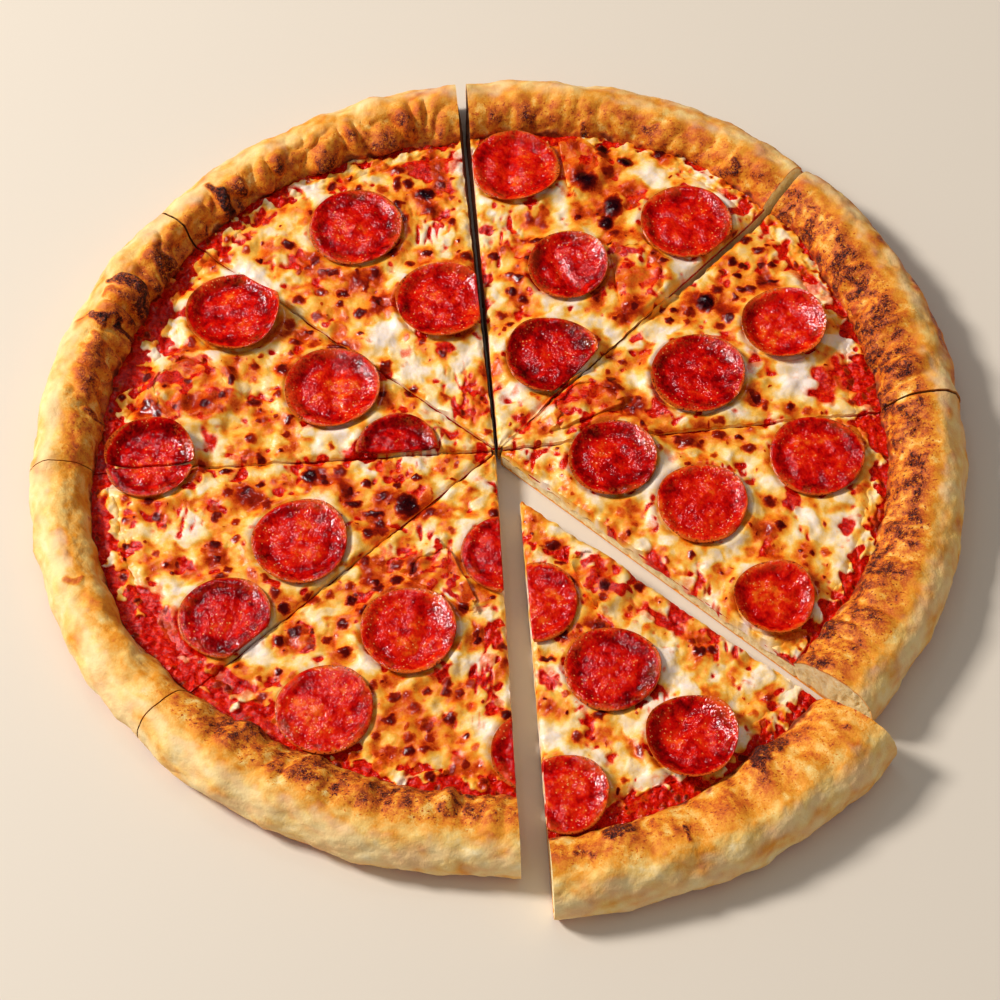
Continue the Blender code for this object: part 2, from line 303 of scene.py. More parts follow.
def from_photo(column, row, height=CHEESE_LEVEL):
    """Point of the baked pizza, at full length, that shows at a pixel of the photograph."""
    elevation = math.radians(CAMERA_ELEVATION)
    back = np.array([0.0, -math.cos(elevation), math.sin(elevation)])
    up = np.array([0.0, math.sin(elevation), math.cos(elevation)])
    place = np.array([*CAMERA_TARGET, 0.0]) + back * CAMERA_DISTANCE
    across = (column - 0.5 * PHOTO_PIXELS) / CAMERA_FOCAL_PIXELS
    upward = (0.5 * PHOTO_PIXELS - row) / CAMERA_FOCAL_PIXELS
    ray = -back + across * np.array([1.0, 0.0, 0.0]) + upward * up
    flat = (place + ray * (height - place[2]) / ray[2])[:2]
    found = None
    for number in range(1, len(SLICES) + 1):
        first, last = cuts_of(number)
        spot = turned(flat - slide_of(number), -turn_of(number)) / length_of(number)
        angle = math.degrees(math.atan2(spot[1], spot[0]))
        off = abs((angle - 0.5 * (first + last) + 180.0) % 360.0 - 180.0) - 0.5 * (first - last)
        if found is None or off < found[0]:
            found = (off, spot)
    return found[1]


# Square grid over the baked pizza
AXIS = (np.arange(CELLS) + 0.5) * PITCH - HALF
GRID_X, GRID_Y = np.meshgrid(AXIS, AXIS)
GRID_DISTANCE = np.hypot(GRID_X, GRID_Y)
GRID_ANGLE = np.degrees(np.arctan2(GRID_Y, GRID_X))


def grain(size, seed, shape=(CELLS, CELLS), pitch=(PITCH, PITCH), stretch=1.0):
    """Smooth random relief with lumps about as wide as size, of average 0 and spread 1.

    Stretch makes the lumps longer down the columns of the grid.
    """
    draw = np.random.default_rng(seed).standard_normal(shape)
    down = np.fft.fftfreq(shape[0], pitch[0])[:, None] * stretch
    over = np.fft.rfftfreq(shape[1], pitch[1])[None, :]
    spread = 2.0 * (math.pi * size / 4.0) ** 2 * (down ** 2 + over ** 2)
    keep = np.exp(-spread) * (1.0 - np.exp(-9.0 * spread))
    relief = np.fft.irfft2(np.fft.rfft2(draw) * keep, s=shape)
    return relief / relief.std()


def read_square(grid, x, y):
    """Values of the square grid at points."""
    across = np.clip((np.asarray(x) + HALF) / PITCH - 0.5, 0, CELLS - 1.001)
    down = np.clip((np.asarray(y) + HALF) / PITCH - 0.5, 0, CELLS - 1.001)
    return read_grid(grid, down, across)


def read_grid(grid, down, across):
    """Values between a grid's cells."""
    i, j = down.astype(int), across.astype(int)
    di, dj = down - i, across - j
    i2, j2 = np.minimum(i + 1, grid.shape[0] - 1), (j + 1) % grid.shape[1]
    upper = grid[i, j] * (1 - dj) + grid[i, j2] * dj
    lower = grid[i2, j] * (1 - dj) + grid[i2, j2] * dj
    return upper * (1 - di) + lower * di


WIDE_WARP = 1.3 * grain(6.0, 11), 1.3 * grain(6.0, 13)
FINE_WARP = 0.30 * grain(2.4, 12), 0.30 * grain(2.4, 14)


def window(x, y, reach):
    """Slices of the grid's cells within reach of a point."""
    low_x = max(int((x - reach + HALF) / PITCH), 0)
    low_y = max(int((y - reach + HALF) / PITCH), 0)
    high_x = min(int((x + reach + HALF) / PITCH) + 2, CELLS)
    high_y = min(int((y + reach + HALF) / PITCH) + 2, CELLS)
    return slice(low_y, high_y), slice(low_x, high_x)


def how_far(part, x, y, width, height, turn, warp):
    """Distance from a point with uneven edges, 1 on an oval of that many photograph pixels."""
    over = (GRID_X[part] + warp[0][part] - x) * PIXELS_PER_MM
    down = (GRID_Y[part] + warp[1][part] - y) * PIXELS_PER_MM * ROWS_SHARE
    cosine, sine = math.cos(math.radians(turn)), math.sin(math.radians(turn))
    along = (over * cosine + down * sine) / (0.5 * width)
    side = (down * cosine - over * sine) / (0.5 * height)
    return np.hypot(along, side)


def oval(column, row, width, height, turn=0.0, warp=WIDE_WARP, level=CHEESE_LEVEL):
    """Part of the grid round a place of the photograph, and the distance from it."""
    x, y = from_photo(column, row, level)
    part = window(x, y, 0.9 * max(width, height) / PIXELS_PER_MM + 5.0)
    return part, how_far(part, x, y, width, height, turn, warp)


# Gap to the pepperoni where there is none near, and how far round each it is worked out
FAR_FROM_DISCS = 99.0
DISC_SURROUND = 8.0


def free_of_discs():
    """Distance of the grid's cells from the nearest pepperoni's edge, where they lie near one."""
    room = np.full((CELLS, CELLS), FAR_FROM_DISCS)
    for disc in PEPPERONI:
        if disc.name not in UNDER_CHEESE:
            x, y = on_grid(disc)
            part = window(x, y, disc.radius + DISC_SURROUND)
            gap = np.hypot(GRID_X[part] - x, GRID_Y[part] - y) - disc.radius
            room[part] = np.minimum(room[part], gap)
    return room


DISC_GAP = free_of_discs()

# Patches of smooth white cheese: photo column and row, width and height in its pixels, turn
WHITE_PATCHES = (
    (244, 271, 45, 35), (317, 192, 50, 12, -25), (377, 333, 30, 25), (297, 315, 18, 12), (315, 351, 22, 10),
    (213, 356, 18, 14), (416, 371, 30, 24), (422, 224, 14, 14), (397, 280, 20, 14), (429, 226, 22, 12),
    (446, 236, 16, 16), (397, 158, 24, 8), (389, 327, 24, 20), (535, 207, 14, 10), (561, 212, 18, 14),
    (496, 298, 14, 14), (498, 342, 16, 16), (610, 327, 14, 10), (669, 327, 24, 12), (631, 345, 24, 12),
    (750, 266, 12, 12), (771, 261, 10, 20), (807, 292, 30, 8, -35), (738, 320, 12, 12), (796, 385, 30, 36),
    (756, 411, 30, 16), (686, 424, 16, 8), (692, 451, 24, 12), (730, 450, 12, 12), (155, 353, 16, 12),
    (195, 354, 16, 12), (158, 393, 14, 14), (173, 325, 12, 12), (209, 481, 26, 14), (325, 446, 30, 10, -25),
    (281, 440, 16, 16), (361, 541, 20, 26), (350, 575, 16, 20), (229, 539, 10, 16), (310, 613, 22, 12),
    (273, 630, 16, 14), (254, 646, 26, 16), (394, 536, 14, 14), (430, 524, 20, 14), (381, 598, 16, 8),
    (368, 472, 14, 12), (435, 525, 18, 12), (460, 535, 26, 18), (484, 569, 10, 18), (450, 595, 14, 12),
    (466, 627, 10, 20), (456, 658, 16, 14), (472, 667, 16, 18), (475, 719, 36, 26), (492, 650, 8, 12),
    (541, 555, 16, 14), (587, 558, 30, 14), (588, 624, 14, 8), (541, 642, 14, 10), (568, 750, 26, 20),
    (389, 739, 14, 12), (680, 712, 60, 24, -25), (600, 752, 24, 16), (664, 655, 26, 16),
)

# Patches where the sauce shows through the cheese: the same, then how strongly if not fully
RED_PATCHES = (
    (426, 160, 14, 12), (453, 161, 10, 24), (224, 252, 14, 20), (185, 284, 16, 14),
    (158, 313, 16, 14), (152, 331, 14, 12), (267, 218, 14, 12), (290, 189, 30, 12),
    (660, 411, 24, 16, 0, 0.8), (753, 361, 16, 20, 0, 0.8), (770, 370, 16, 12, 0, 0.8),
    (826, 384, 30, 34), (850, 372, 50, 26, -40, 1), (872, 398, 30, 24), (791, 266, 16, 20),
    (765, 226, 20, 18), (780, 250, 34, 12, -50, 1), (812, 282, 60, 14, -35, 1), (840, 306, 20, 16),
    (403, 350, 8, 16), (728, 190, 20, 12, -40, 1), (742, 205, 16, 14),
    (432, 165, 60, 14, 8, 0.9), (445, 185, 24, 20, 0, 0.8), (292, 262, 20, 14, 0, 0.7),
    (347, 458, 16, 20, 0, 0.8), (319, 457, 20, 8, 0, 0.8), (399, 526, 12, 8), (381, 547, 14, 14),
    (388, 558, 12, 12), (209, 440, 22, 22, 0, 0.7), (237, 460, 30, 10), (545, 676, 18, 14),
    (562, 667, 10, 10), (487, 665, 10, 60, 0, 0.9), (496, 700, 10, 24), (620, 590, 22, 10, -25, 1),
    (655, 615, 50, 12, -28, 0.8), (655, 570, 22, 40, 0, 0.9), (828, 650, 16, 24, 30, 1),
    (168, 632, 120, 30, -56, 1), (225, 682, 60, 20, -15, 1), (690, 590, 18, 10, 0, 0.9),
    (560, 402, 40, 12, 25, 0.8), (530, 420, 30, 16, 40, 0.8),
    (485, 400, 14, 40, -20, 0.8), (215, 325, 20, 10, 0, 0.6), (185, 470, 20, 10, 0, 0.7),
    (150, 512, 22, 14, 0, 0.9), (448, 430, 30, 8, 0, 0.8), (622, 700, 10, 14, 0, 0.7),
    (770, 700, 24, 8, -20, 0.9),
)

# Places where thin strings of cheese cross the sauce
STRINGY = (
    (507, 226, 26, 30), (497, 250, 16, 30), (530, 455, 40, 30), (440, 440, 70, 24), (460, 395, 40, 50),
    (400, 465, 60, 24), (700, 600, 60, 40), (640, 690, 60, 40), (590, 640, 60, 30), (300, 640, 60, 24),
    (720, 470, 60, 24), (420, 545, 60, 40), (480, 690, 30, 60), (420, 225, 50, 40), (560, 590, 40, 30),
    (180, 520, 50, 30), (345, 690, 60, 16),
)

# Dark blistered spots in the cheese: photo column and row, width and height in its pixels, turn
DARK_SPOTS = (
    (260, 259, 6, 6), (288, 244, 16, 7, -20), (315, 260, 11, 11), (328, 272, 22, 9), (299, 298, 14, 9),
    (321, 290, 12, 10), (317, 315, 12, 10), (341, 292, 16, 12), (364, 284, 14, 14), (375, 272, 12, 12),
    (374, 299, 20, 14), (360, 312, 14, 8), (394, 252, 16, 14), (410, 263, 12, 6), (398, 204, 14, 12),
    (404, 218, 12, 10), (386, 365, 12, 10), (283, 370, 12, 16), (304, 361, 8, 8), (297, 341, 16, 6),
    (308, 331, 10, 5), (337, 347, 30, 10), (254, 400, 14, 10), (204, 405, 12, 8), (232, 381, 6, 12),
    (410, 391, 10, 10), (430, 210, 16, 12), (397, 183, 8, 16), (408, 183, 10, 10), (398, 169, 16, 8),
    (427, 253, 14, 12), (192, 344, 8, 14), (147, 377, 10, 10), (147, 406, 12, 10), (158, 416, 10, 10),
    (190, 399, 10, 8), (222, 396, 10, 8), (466, 255, 14, 10), (529, 218, 10, 12), (577, 215, 12, 14),
    (603, 155, 12, 10), (608, 172, 14, 14), (531, 240, 24, 8), (494, 255, 14, 8), (512, 291, 10, 8),
    (523, 299, 10, 8), (502, 314, 14, 8), (510, 323, 8, 5), (515, 275, 20, 10), (528, 258, 8, 6),
    (596, 296, 10, 14), (690, 310, 12, 14), (718, 288, 12, 10), (746, 289, 20, 10), (766, 281, 22, 9),
    (759, 249, 12, 8), (733, 261, 10, 10), (743, 264, 8, 6), (762, 263, 8, 8), (745, 239, 12, 8),
    (729, 317, 10, 10), (719, 325, 12, 8), (737, 274, 10, 5), (674, 309, 8, 6), (670, 319, 8, 5),
    (634, 308, 10, 8), (617, 316, 14, 12), (611, 381, 12, 14), (617, 389, 14, 10), (623, 361, 10, 6),
    (629, 407, 14, 12), (638, 398, 8, 8), (755, 393, 16, 18), (765, 404, 8, 10), (791, 406, 8, 10),
    (719, 420, 12, 6), (661, 431, 14, 6), (683, 439, 22, 14), (702, 440, 6, 6), (719, 433, 14, 8),
    (748, 447, 14, 8), (739, 436, 8, 6), (250, 438, 12, 10), (262, 457, 14, 12), (322, 477, 14, 14),
    (340, 470, 12, 12), (347, 490, 14, 14), (385, 495, 12, 14), (367, 483, 10, 8), (397, 483, 8, 8),
    (417, 477, 10, 6), (353, 503, 16, 8), (368, 513, 30, 8), (376, 527, 22, 20), (228, 492, 12, 10),
    (249, 493, 18, 16), (218, 516, 12, 14), (215, 544, 12, 8), (214, 558, 16, 10), (221, 577, 10, 8),
    (236, 521, 10, 8), (226, 470, 14, 5), (275, 593, 10, 10), (284, 607, 10, 10), (312, 598, 14, 10),
    (330, 593, 10, 8), (350, 585, 10, 8), (351, 599, 10, 10), (362, 611, 16, 14), (374, 585, 20, 14),
    (397, 580, 12, 10), (413, 570, 8, 14), (397, 564, 14, 10), (342, 623, 10, 10), (295, 630, 12, 12),
    (279, 640, 10, 10), (310, 646, 10, 8), (345, 651, 14, 8), (327, 639, 10, 8), (430, 510, 10, 8),
    (463, 608, 10, 10), (481, 635, 16, 16), (501, 645, 10, 10), (447, 681, 10, 10), (427, 690, 8, 8),
    (446, 691, 12, 8), (460, 691, 8, 8), (394, 696, 14, 10), (414, 706, 12, 12), (390, 717, 16, 14),
    (427, 725, 12, 12), (450, 717, 12, 10), (409, 737, 14, 10), (430, 737, 10, 10), (425, 748, 12, 8),
    (409, 750, 12, 8), (506, 714, 10, 8), (553, 544, 16, 8), (562, 561, 12, 6), (564, 609, 12, 10),
    (564, 635, 10, 12), (579, 626, 8, 6), (601, 624, 18, 12), (605, 587, 10, 10), (570, 581, 12, 10),
    (547, 658, 16, 6), (600, 714, 14, 6), (700, 650, 14, 10), (692, 640, 10, 8), (712, 648, 10, 8),
    (690, 735, 12, 10), (672, 750, 12, 10), (780, 525, 10, 8), (770, 500, 12, 10), (640, 585, 10, 10),
)
BLACK_SPOTS = (
    (426, 193, 18, 12), (585, 181, 24, 18, -35), (613, 205, 18, 22), (606, 222, 14, 14), (602, 149, 14, 10),
    (706, 301, 18, 18), (310, 475, 16, 14), (407, 504, 22, 22), (625, 160, 14, 10), (660, 148, 12, 18),
)

# Scatter of small dark spots between those: rows of spots in all, places tried, and how far out
MOST_SPOTS = 900
TRIED_PLACES = 9000
SCATTER_REACH = 148.0


def patches(rows, soft, warp=WIDE_WARP):
    """1 inside any of the patches, and 0 outside."""
    mask = np.zeros((CELLS, CELLS))
    for row in rows:
        part, far = oval(*row[:5], warp=warp)
        strength = row[5] if len(row) > 5 else 1.0
        mask[part] = np.maximum(mask[part], strength * smoothstep(1.0 + soft, 1.0 - soft, far))
    return mask


def covered_discs():
    """1 over the pepperoni that lie under cheese."""
    mask = np.zeros((CELLS, CELLS))
    for disc in PEPPERONI:
        if disc.name in UNDER_CHEESE:
            x, y = on_grid(disc)
            far = np.hypot(GRID_X + WIDE_WARP[0] - x, GRID_Y + WIDE_WARP[1] - y) / disc.radius
            mask = np.maximum(mask, smoothstep(1.05, 0.85, far))
    return mask


COVERED = covered_discs()


def white_mask():
    """1 on smooth white cheese."""
    mask = 0.8 * smoothstep(0.75, 1.4, grain(13.0, 21) + 0.5 * grain(6.0, 22))
    return np.maximum(mask * (1.0 - COVERED), patches(WHITE_PATCHES, 0.3))


# Stretches where the cheese runs out to the rim: middle angle, half width, how far
TO_THE_RIM = ((-46.0, 7.0, 5.0), (-66.0, 4.0, 2.5), (38.0, 5.0, 3.0), (112.0, 5.0, 2.0))


def red_mask(white):
    """How much sauce shows through the cheese: half at the edge of a patch."""
    thin = grain(10.0, 31) + 0.45 * grain(3.4, 32)
    mask = 0.9 * smoothstep(0.65, 2.2, thin) * (1.0 - 0.8 * white)
    mask = np.maximum(mask, 0.9 * patches(RED_PATCHES, 0.45) * (1.0 - 0.6 * white))
    strings = smoothstep(-0.2, 1.4, grain(2.2, 34, stretch=3.5)) * patches(STRINGY, 0.5)
    mask = np.maximum(mask, 0.85 * strings)
    mask = np.maximum(mask, COVERED * smoothstep(-0.3, 2.2, grain(7.0, 35) + 0.6 * grain(2.6, 36)))
    to_edge = cheese_edge(GRID_ANGLE) - GRID_DISTANCE
    reach = 1.0 + wave(GRID_ANGLE, (1, 2.0, 70), (2, 1.5, 140)) + along_rim(TO_THE_RIM, 0.0, GRID_ANGLE)
    tongues = smoothstep(-1.2, 1.0, to_edge + reach + 3.4 * grain(9.0, 33) + 1.5 * grain(3.5, 37))
    return np.maximum(mask, 1.0 - tongues)


def placed_spots(draw):
    """Dark spots given one by one; a wide one is a cluster of smaller ones."""
    rows = []
    for spots, low, high in ((DARK_SPOTS, 0.68, 0.92), (BLACK_SPOTS, 0.94, 1.0)):
        for column, row, width, height, *turn in spots:
            turn = turn[0] if turn else 0.0
            x, y = from_photo(column, row)
            parts = 1 if width * height < 160 or high == 1.0 else 4
            for _ in range(parts):
                dark = low + (high - low) * draw.random()
                share = 1.0 if parts == 1 else 0.34 + 0.3 * draw.random()
                off = 0.3 * (draw.random(2) * 2.0 - 1.0) * (parts > 1) * (width, height) / PIXELS_PER_MM
                rows.append((x + off[0], y + off[1], width * share, height * share, turn, dark))
    return rows


def spot_rows(white):
    """Dark spots: the listed ones and a seeded scatter between them."""
    draw = np.random.default_rng(41)
    rows = placed_spots(draw)
    placed = [(row[0], row[1], max(row[2:4]) / PIXELS_PER_MM) for row in rows]
    crowd = grain(18.0, 42)
    for chance in draw.random((TRIED_PLACES, 7)):
        x, y = on_circle(SCATTER_REACH * math.sqrt(chance[0]), 360.0 * chance[1])
        size = 0.9 + 4.0 * chance[2] ** 2.4
        if read_square(white, x, y) > 0.35 or read_square(DISC_GAP, x, y) < 0.4:
            continue
        if chance[3] > 0.62 + 0.3 * read_square(crowd, x, y):
            continue
        if any(math.hypot(x - px, y - py) < 0.5 * (size + wide) + 0.4 for px, py, wide in placed):
            continue
        across = size * PIXELS_PER_MM
        along = across * (0.6 + 0.4 * chance[4])
        rows.append((x, y, across, along, 180.0 * chance[5], 0.5 + 0.34 * chance[6]))
        placed.append((x, y, size))
        if len(rows) == MOST_SPOTS:
            break
    return rows


def brown_masks(white):
    """Soft browning of the cheese, the spots (half at their edges) and how dark they are."""
    gold = 0.25 + 0.14 * grain(12.0, 51) + 0.07 * grain(3.6, 52)
    gold = np.clip(gold + 0.24 * COVERED, 0.08, 0.52) * (1.0 - 0.88 * white)
    clear = np.ones((CELLS, CELLS))
    spot, deep = np.zeros((CELLS, CELLS)), np.zeros((CELLS, CELLS))
    for x, y, width, height, turn, dark in spot_rows(white):
        size = math.sqrt(width * height) / PIXELS_PER_MM
        part = window(x, y, size + 6.0)
        far = how_far(part, x, y, 1.1 * width, 1.1 * height, turn, FINE_WARP)
        field = 1.0 - 0.5 * far
        deep[part] = np.where(field > spot[part], dark, deep[part])
        spot[part] = np.maximum(spot[part], field)
        outside = np.maximum(far - 1.0, 0.0) * 0.5 * size
        reach = 1.5 + 0.3 * size
        clear[part] *= 1.0 - 0.78 * dark * np.exp(-(outside / reach) ** 1.5)
    to_foot = rim_foot(GRID_ANGLE) - GRID_DISTANCE
    crisp = 0.74 * smoothstep(0.5, 1.5, grain(3.6, 53) + 0.4 * grain(12.0, 54))
    crisp *= smoothstep(7.0, 1.0, to_foot)
    brown = np.maximum(gold, gold * 0.6 + 0.46 * (1.0 - clear))
    return np.maximum(brown, crisp), np.maximum(spot, 0.0), deep


WHITE = white_mask()
RED = red_mask(WHITE)
BROWN, SPOT, DEEP = brown_masks(WHITE)
CORE = smoothstep(0.42, 0.8, SPOT) * smoothstep(0.4, 0.9, DEEP)


LIP_REACH = 6.0
EDGE_WOBBLE = grain(5.0, 65)


def lifted_edge(disc):
    """Grid cells round a pepperoni, and there their distance from it, its lift and which are its own.

    The distance is a share of the pepperoni's radius.
    """
    x, y = on_grid(disc)
    part = window(x, y, disc.radius + LIP_REACH)
    over, down = GRID_X[part] - x, GRID_Y[part] - y
    share = np.hypot(over, down) / disc.radius
    outward = (over * x + down * y) / math.hypot(x, y)
    lift = disc.curl * share ** 3 + outward * math.tan(math.radians(disc.tilt))
    own = np.ones_like(share, bool)
    if disc.name not in ACROSS_THE_CUT:
        for way in inward_of(disc.number):
            own &= GRID_X[part] * way[0] + GRID_Y[part] * way[1] > 0.0
    for direction, reach in disc.trims:
        way = on_circle(1.0, direction)
        own &= over * way[0] + down * way[1] < reach - 1.5
    return part, share, lift, own


def lip_round(disc):
    """Grid cells round a pepperoni, how high the cheese stands up to it, and how far it does."""
    part, share, lift, own = lifted_edge(disc)
    reach = disc.radius * (share - 1.0)
    if disc.name in UNDER_CHEESE:
        top = CHEESE_TOP + CLEARANCE + lift + PEPPERONI_THICKNESS + 0.1
        return part, top, own * np.exp(-(np.maximum(reach, 0.0) / 3.4) ** 2)
    top = CHEESE_TOP + 0.2 + np.clip(0.75 * lift, -0.5, 2.4)
    return part, top, 0.6 * own * np.exp(-((reach - 1.2) / 2.6) ** 2) * (share > 0.93)


def room_under(disc):
    """Grid cells round a pepperoni, which of them it covers, and its underside there."""
    part, share, lift, own = lifted_edge(disc)
    edge = 0.86 + 0.05 * EDGE_WOBBLE[part] if disc.name in UNDER_CHEESE else 1.0
    ceiling = np.maximum(CHEESE_TOP + CLEARANCE + 0.5 * lift - 0.5, CHEESE_BOTTOM + 0.4)
    return part, own & (share < edge), ceiling


def cheese_relief():
    """Top of the cheese."""
    relief = 0.36 * grain(9.0, 61) + 0.13 * grain(4.0, 62) + 0.05 * grain(1.8, 63)
    relief += 0.35 * WHITE - 0.75 * RED * (1.0 - 0.4 * WHITE)
    relief += RED * 0.20 * grain(1.9, 64)
    relief += 0.5 * CORE
    height = CHEESE_TOP + relief
    for disc in PEPPERONI:
        part, top, blend = lip_round(disc)
        height[part] = height[part] * (1 - blend) + blend * np.maximum(height[part], top)
    for disc in PEPPERONI:
        part, inside, ceiling = room_under(disc)
        height[part] = np.where(inside, np.minimum(height[part], ceiling), height[part])
    return height


CHEESE_HEIGHT = cheese_relief()


class Shell:
    """Vertices and triangles of one closed piece, gathered row by row, with marks at each vertex."""

    def __init__(self):
        self.points = []
        self.marks = []
        self.faces = []
        self.count = 0

    def row(self, points, **marks):
        """Add a row of vertices and return their indices."""
        points = np.atleast_2d(np.asarray(points, float))
        first = self.count
        self.points.append(points)
        self.marks.append(marks)
        self.count += len(points)
        return np.arange(first, self.count)

    def strip(self, one, other):
        """Triangles between two rows of the same length."""
        a, b, c, d = one[:-1], one[1:], other[1:], other[:-1]
        self.faces.append(np.stack([a, b, c], axis=1))
        self.faces.append(np.stack([a, c, d], axis=1))

    def zipper(self, one, other):
        """Triangles between two rows of different lengths."""
        i = j = 0
        made = []
        while i < len(one) - 1 or j < len(other) - 1:
            next_one = (i + 1) / (len(one) - 1) if i < len(one) - 1 else 2.0
            next_other = (j + 1) / (len(other) - 1) if j < len(other) - 1 else 2.0
            if next_one <= next_other:
                made.append((one[i], one[i + 1], other[j]))
                i += 1
            else:
                made.append((one[i], other[j + 1], other[j]))
                j += 1
        self.faces.append(np.array(made))

    def join(self, rows):
        """Triangles between rows that follow each other, whatever their lengths."""
        for one, other in zip(rows, rows[1:]):
            if len(one) == len(other):
                self.strip(one, other)
            else:
                self.zipper(one, other)

    def all_points(self):
        """All vertices as one array."""
        return np.concatenate(self.points)

    def mark(self, name):
        """One mark at every vertex, 0 where a row has none."""
        values = []
        for points, marks in zip(self.points, self.marks):
            values.append(np.broadcast_to(np.asarray(marks.get(name, 0.0), np.float32), len(points)))
        return np.concatenate(values)

    def make(self, name, number, finish, length=1.0):
        """Object of the shell, as it lies in its slice."""
        points = as_it_lies(self.all_points(), number, length) * MM
        faces = np.concatenate(self.faces)
        apart = (faces[:, 0] != faces[:, 1]) & (faces[:, 1] != faces[:, 2]) & (faces[:, 2] != faces[:, 0])
        faces = faces[apart]
        mesh = bpy.data.meshes.new(name)
        mesh.vertices.add(len(points))
        mesh.vertices.foreach_set("co", points.astype(np.float32).ravel())
        mesh.loops.add(faces.size)
        mesh.loops.foreach_set("vertex_index", faces.astype(np.int32).ravel())
        mesh.polygons.add(len(faces))
        mesh.polygons.foreach_set("loop_start", np.arange(0, faces.size, 3, dtype=np.int32))
        mesh.update(calc_edges=True)
        for mark in sorted({key for marks in self.marks for key in marks}):
            attribute = mesh.attributes.new(mark, "FLOAT", "POINT")
            attribute.data.foreach_set("value", self.mark(mark))
        shape = bmesh.new()
        shape.from_mesh(mesh)
        bmesh.ops.recalc_face_normals(shape, faces=shape.faces)
        shape.to_mesh(mesh)
        shape.free()
        mesh.shade_smooth()
        mesh.set_sharp_from_angle(angle=math.radians(SHARP_ANGLE))
        mesh.materials.append(finish)
        made = bpy.data.objects.new(name, mesh)
        bpy.context.scene.collection.objects.link(made)
        return made


def dress(piece, node):
    """Hand a piece to the frame in place of its solid."""
    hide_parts(node)
    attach(piece, "root")


CUT_WOBBLE = grain(9.0, 71)

# Cuts where the cheese has run together again, out to some distance, and how far it runs over
# them; a cut is given by its slice, and 0 for the first or 1 for the last
STUCK_CUTS = ((1, 1), (2, 0))
STUCK_LENGTH = 92.0
STUCK_REACH = 1.5


def cut_inset(number, distance, side):
    """How far the melted edge draws back from a cut, along the cut; below zero it runs over it."""
    lane = (number * 2 + side) * 37 % CELLS
    along = np.clip((distance / PITCH).astype(int) * 2, 0, CELLS - 1)
    inset = np.clip(0.35 + 0.35 * CUT_WOBBLE[lane, along], 0.05, 1.3)
    if (number, side) in STUCK_CUTS:
        inset = inset - STUCK_REACH * smoothstep(STUCK_LENGTH + 12.0, STUCK_LENGTH, distance)
    return inset


def wedge_row(number, distance, count, drawn_back=0.0):
    """Points across a slice, at a distance for each angle, the row's ends drawn back from the cuts."""
    angles = np.linspace(*cuts_of(number), count)
    reach = distance(angles)
    x, y = ring(reach, angles).T
    for side, (cut, way) in enumerate(zip(cuts_of(number), inward_of(number))):
        gap = reach * np.abs(np.sin(np.radians(angles - cut)))
        inset = drawn_back * cut_inset(number, reach, side)
        inset = np.minimum(inset, 0.2 * reach) * np.exp(-(gap / 2.5) ** 2)
        x, y = x + inset * way[0], y + inset * way[1]
    return x, y


def columns_at(share):
    """Number of points across a slice, halved where it gets narrow."""
    for limit, divisor in ((0.5, 1), (0.25, 2), (0.125, 4)):
        if share > limit:
            return COLUMNS // divisor + 1
    return COLUMNS // 8 + 1


def to_cuts(number, x, y):
    """Distance of points from the nearest cut of their slice."""
    distance = np.hypot(x, y)
    angle = np.degrees(np.arctan2(y, x))
    return np.minimum(*[distance * np.abs(np.sin(np.radians(angle - cut))) for cut in cuts_of(number)])


# Round grid over the rim: down the columns up its section, along the rows round the pizza
RIM_PITCH = (SECTION_LENGTH / SECTION_STEPS, 2.0 * math.pi * RIM_MIDDLE / RIM_STEPS)


def rim_grain(size, seed, stretch=1.0):
    """Random relief over the rim, closed round the pizza."""
    return grain(size, seed, (SECTION_STEPS, RIM_STEPS), RIM_PITCH, stretch)


RIM_LUMPS = 0.44 * rim_grain(15.0, 81) + 0.14 * rim_grain(6.0, 82)
RIM_DOMES = np.abs(rim_grain(11.0, 83, 2.0)) ** 0.8
RIM_CRACKS = np.abs(rim_grain(3.2, 84)) ** 0.7
RIM_FINE = rim_grain(1.9, 85)
RIM_TONE = rim_grain(12.0, 86) + 0.7 * rim_grain(4.0, 87)
RIM_FLOUR = rim_grain(20.0, 88, 0.6) + 0.5 * rim_grain(5.0, 89)
RIM_BLOTCHES = rim_grain(6.0, 90) + 0.8 * rim_grain(2.4, 92)


def read_round(grid, section, angle):
    """Values of the rim's grid at a share of the section and angles."""
    across = np.mod(np.asarray(angle) / 360.0, 1.0) * RIM_STEPS
    across = np.minimum(across, RIM_STEPS - 0.001)
    down = np.full_like(across, np.clip(section, 0.0, 1.0) * (SECTION_STEPS - 1.001))
    return read_grid(grid, down, across)


# Stretches of the rim with finger-like ridges inside: middle angle, half width, height
RIDGED = (
    (137.0, 38.0, 1.25), (60.0, 30.0, 0.4), (20.0, 14.0, 0.6), (-25.0, 16.0, 0.55), (-108.0, 24.0, 0.5),
    (-62.0, 14.0, 0.08))

# Stretches of the rim that are toasted more than the pale rest
TOASTED = (
    (137.0, 46.0, 0.56), (70.0, 26.0, 0.55), (5.0, 44.0, 1.0), (-110.0, 24.0, 1.1), (-62.0, 22.0, 0.62))

# Stretches of the rim darker on their outer side, away from the key lamp: painted shade
PAINTED_SHADE_OUTSIDE = ((32.0, 22.0, 1.0),)

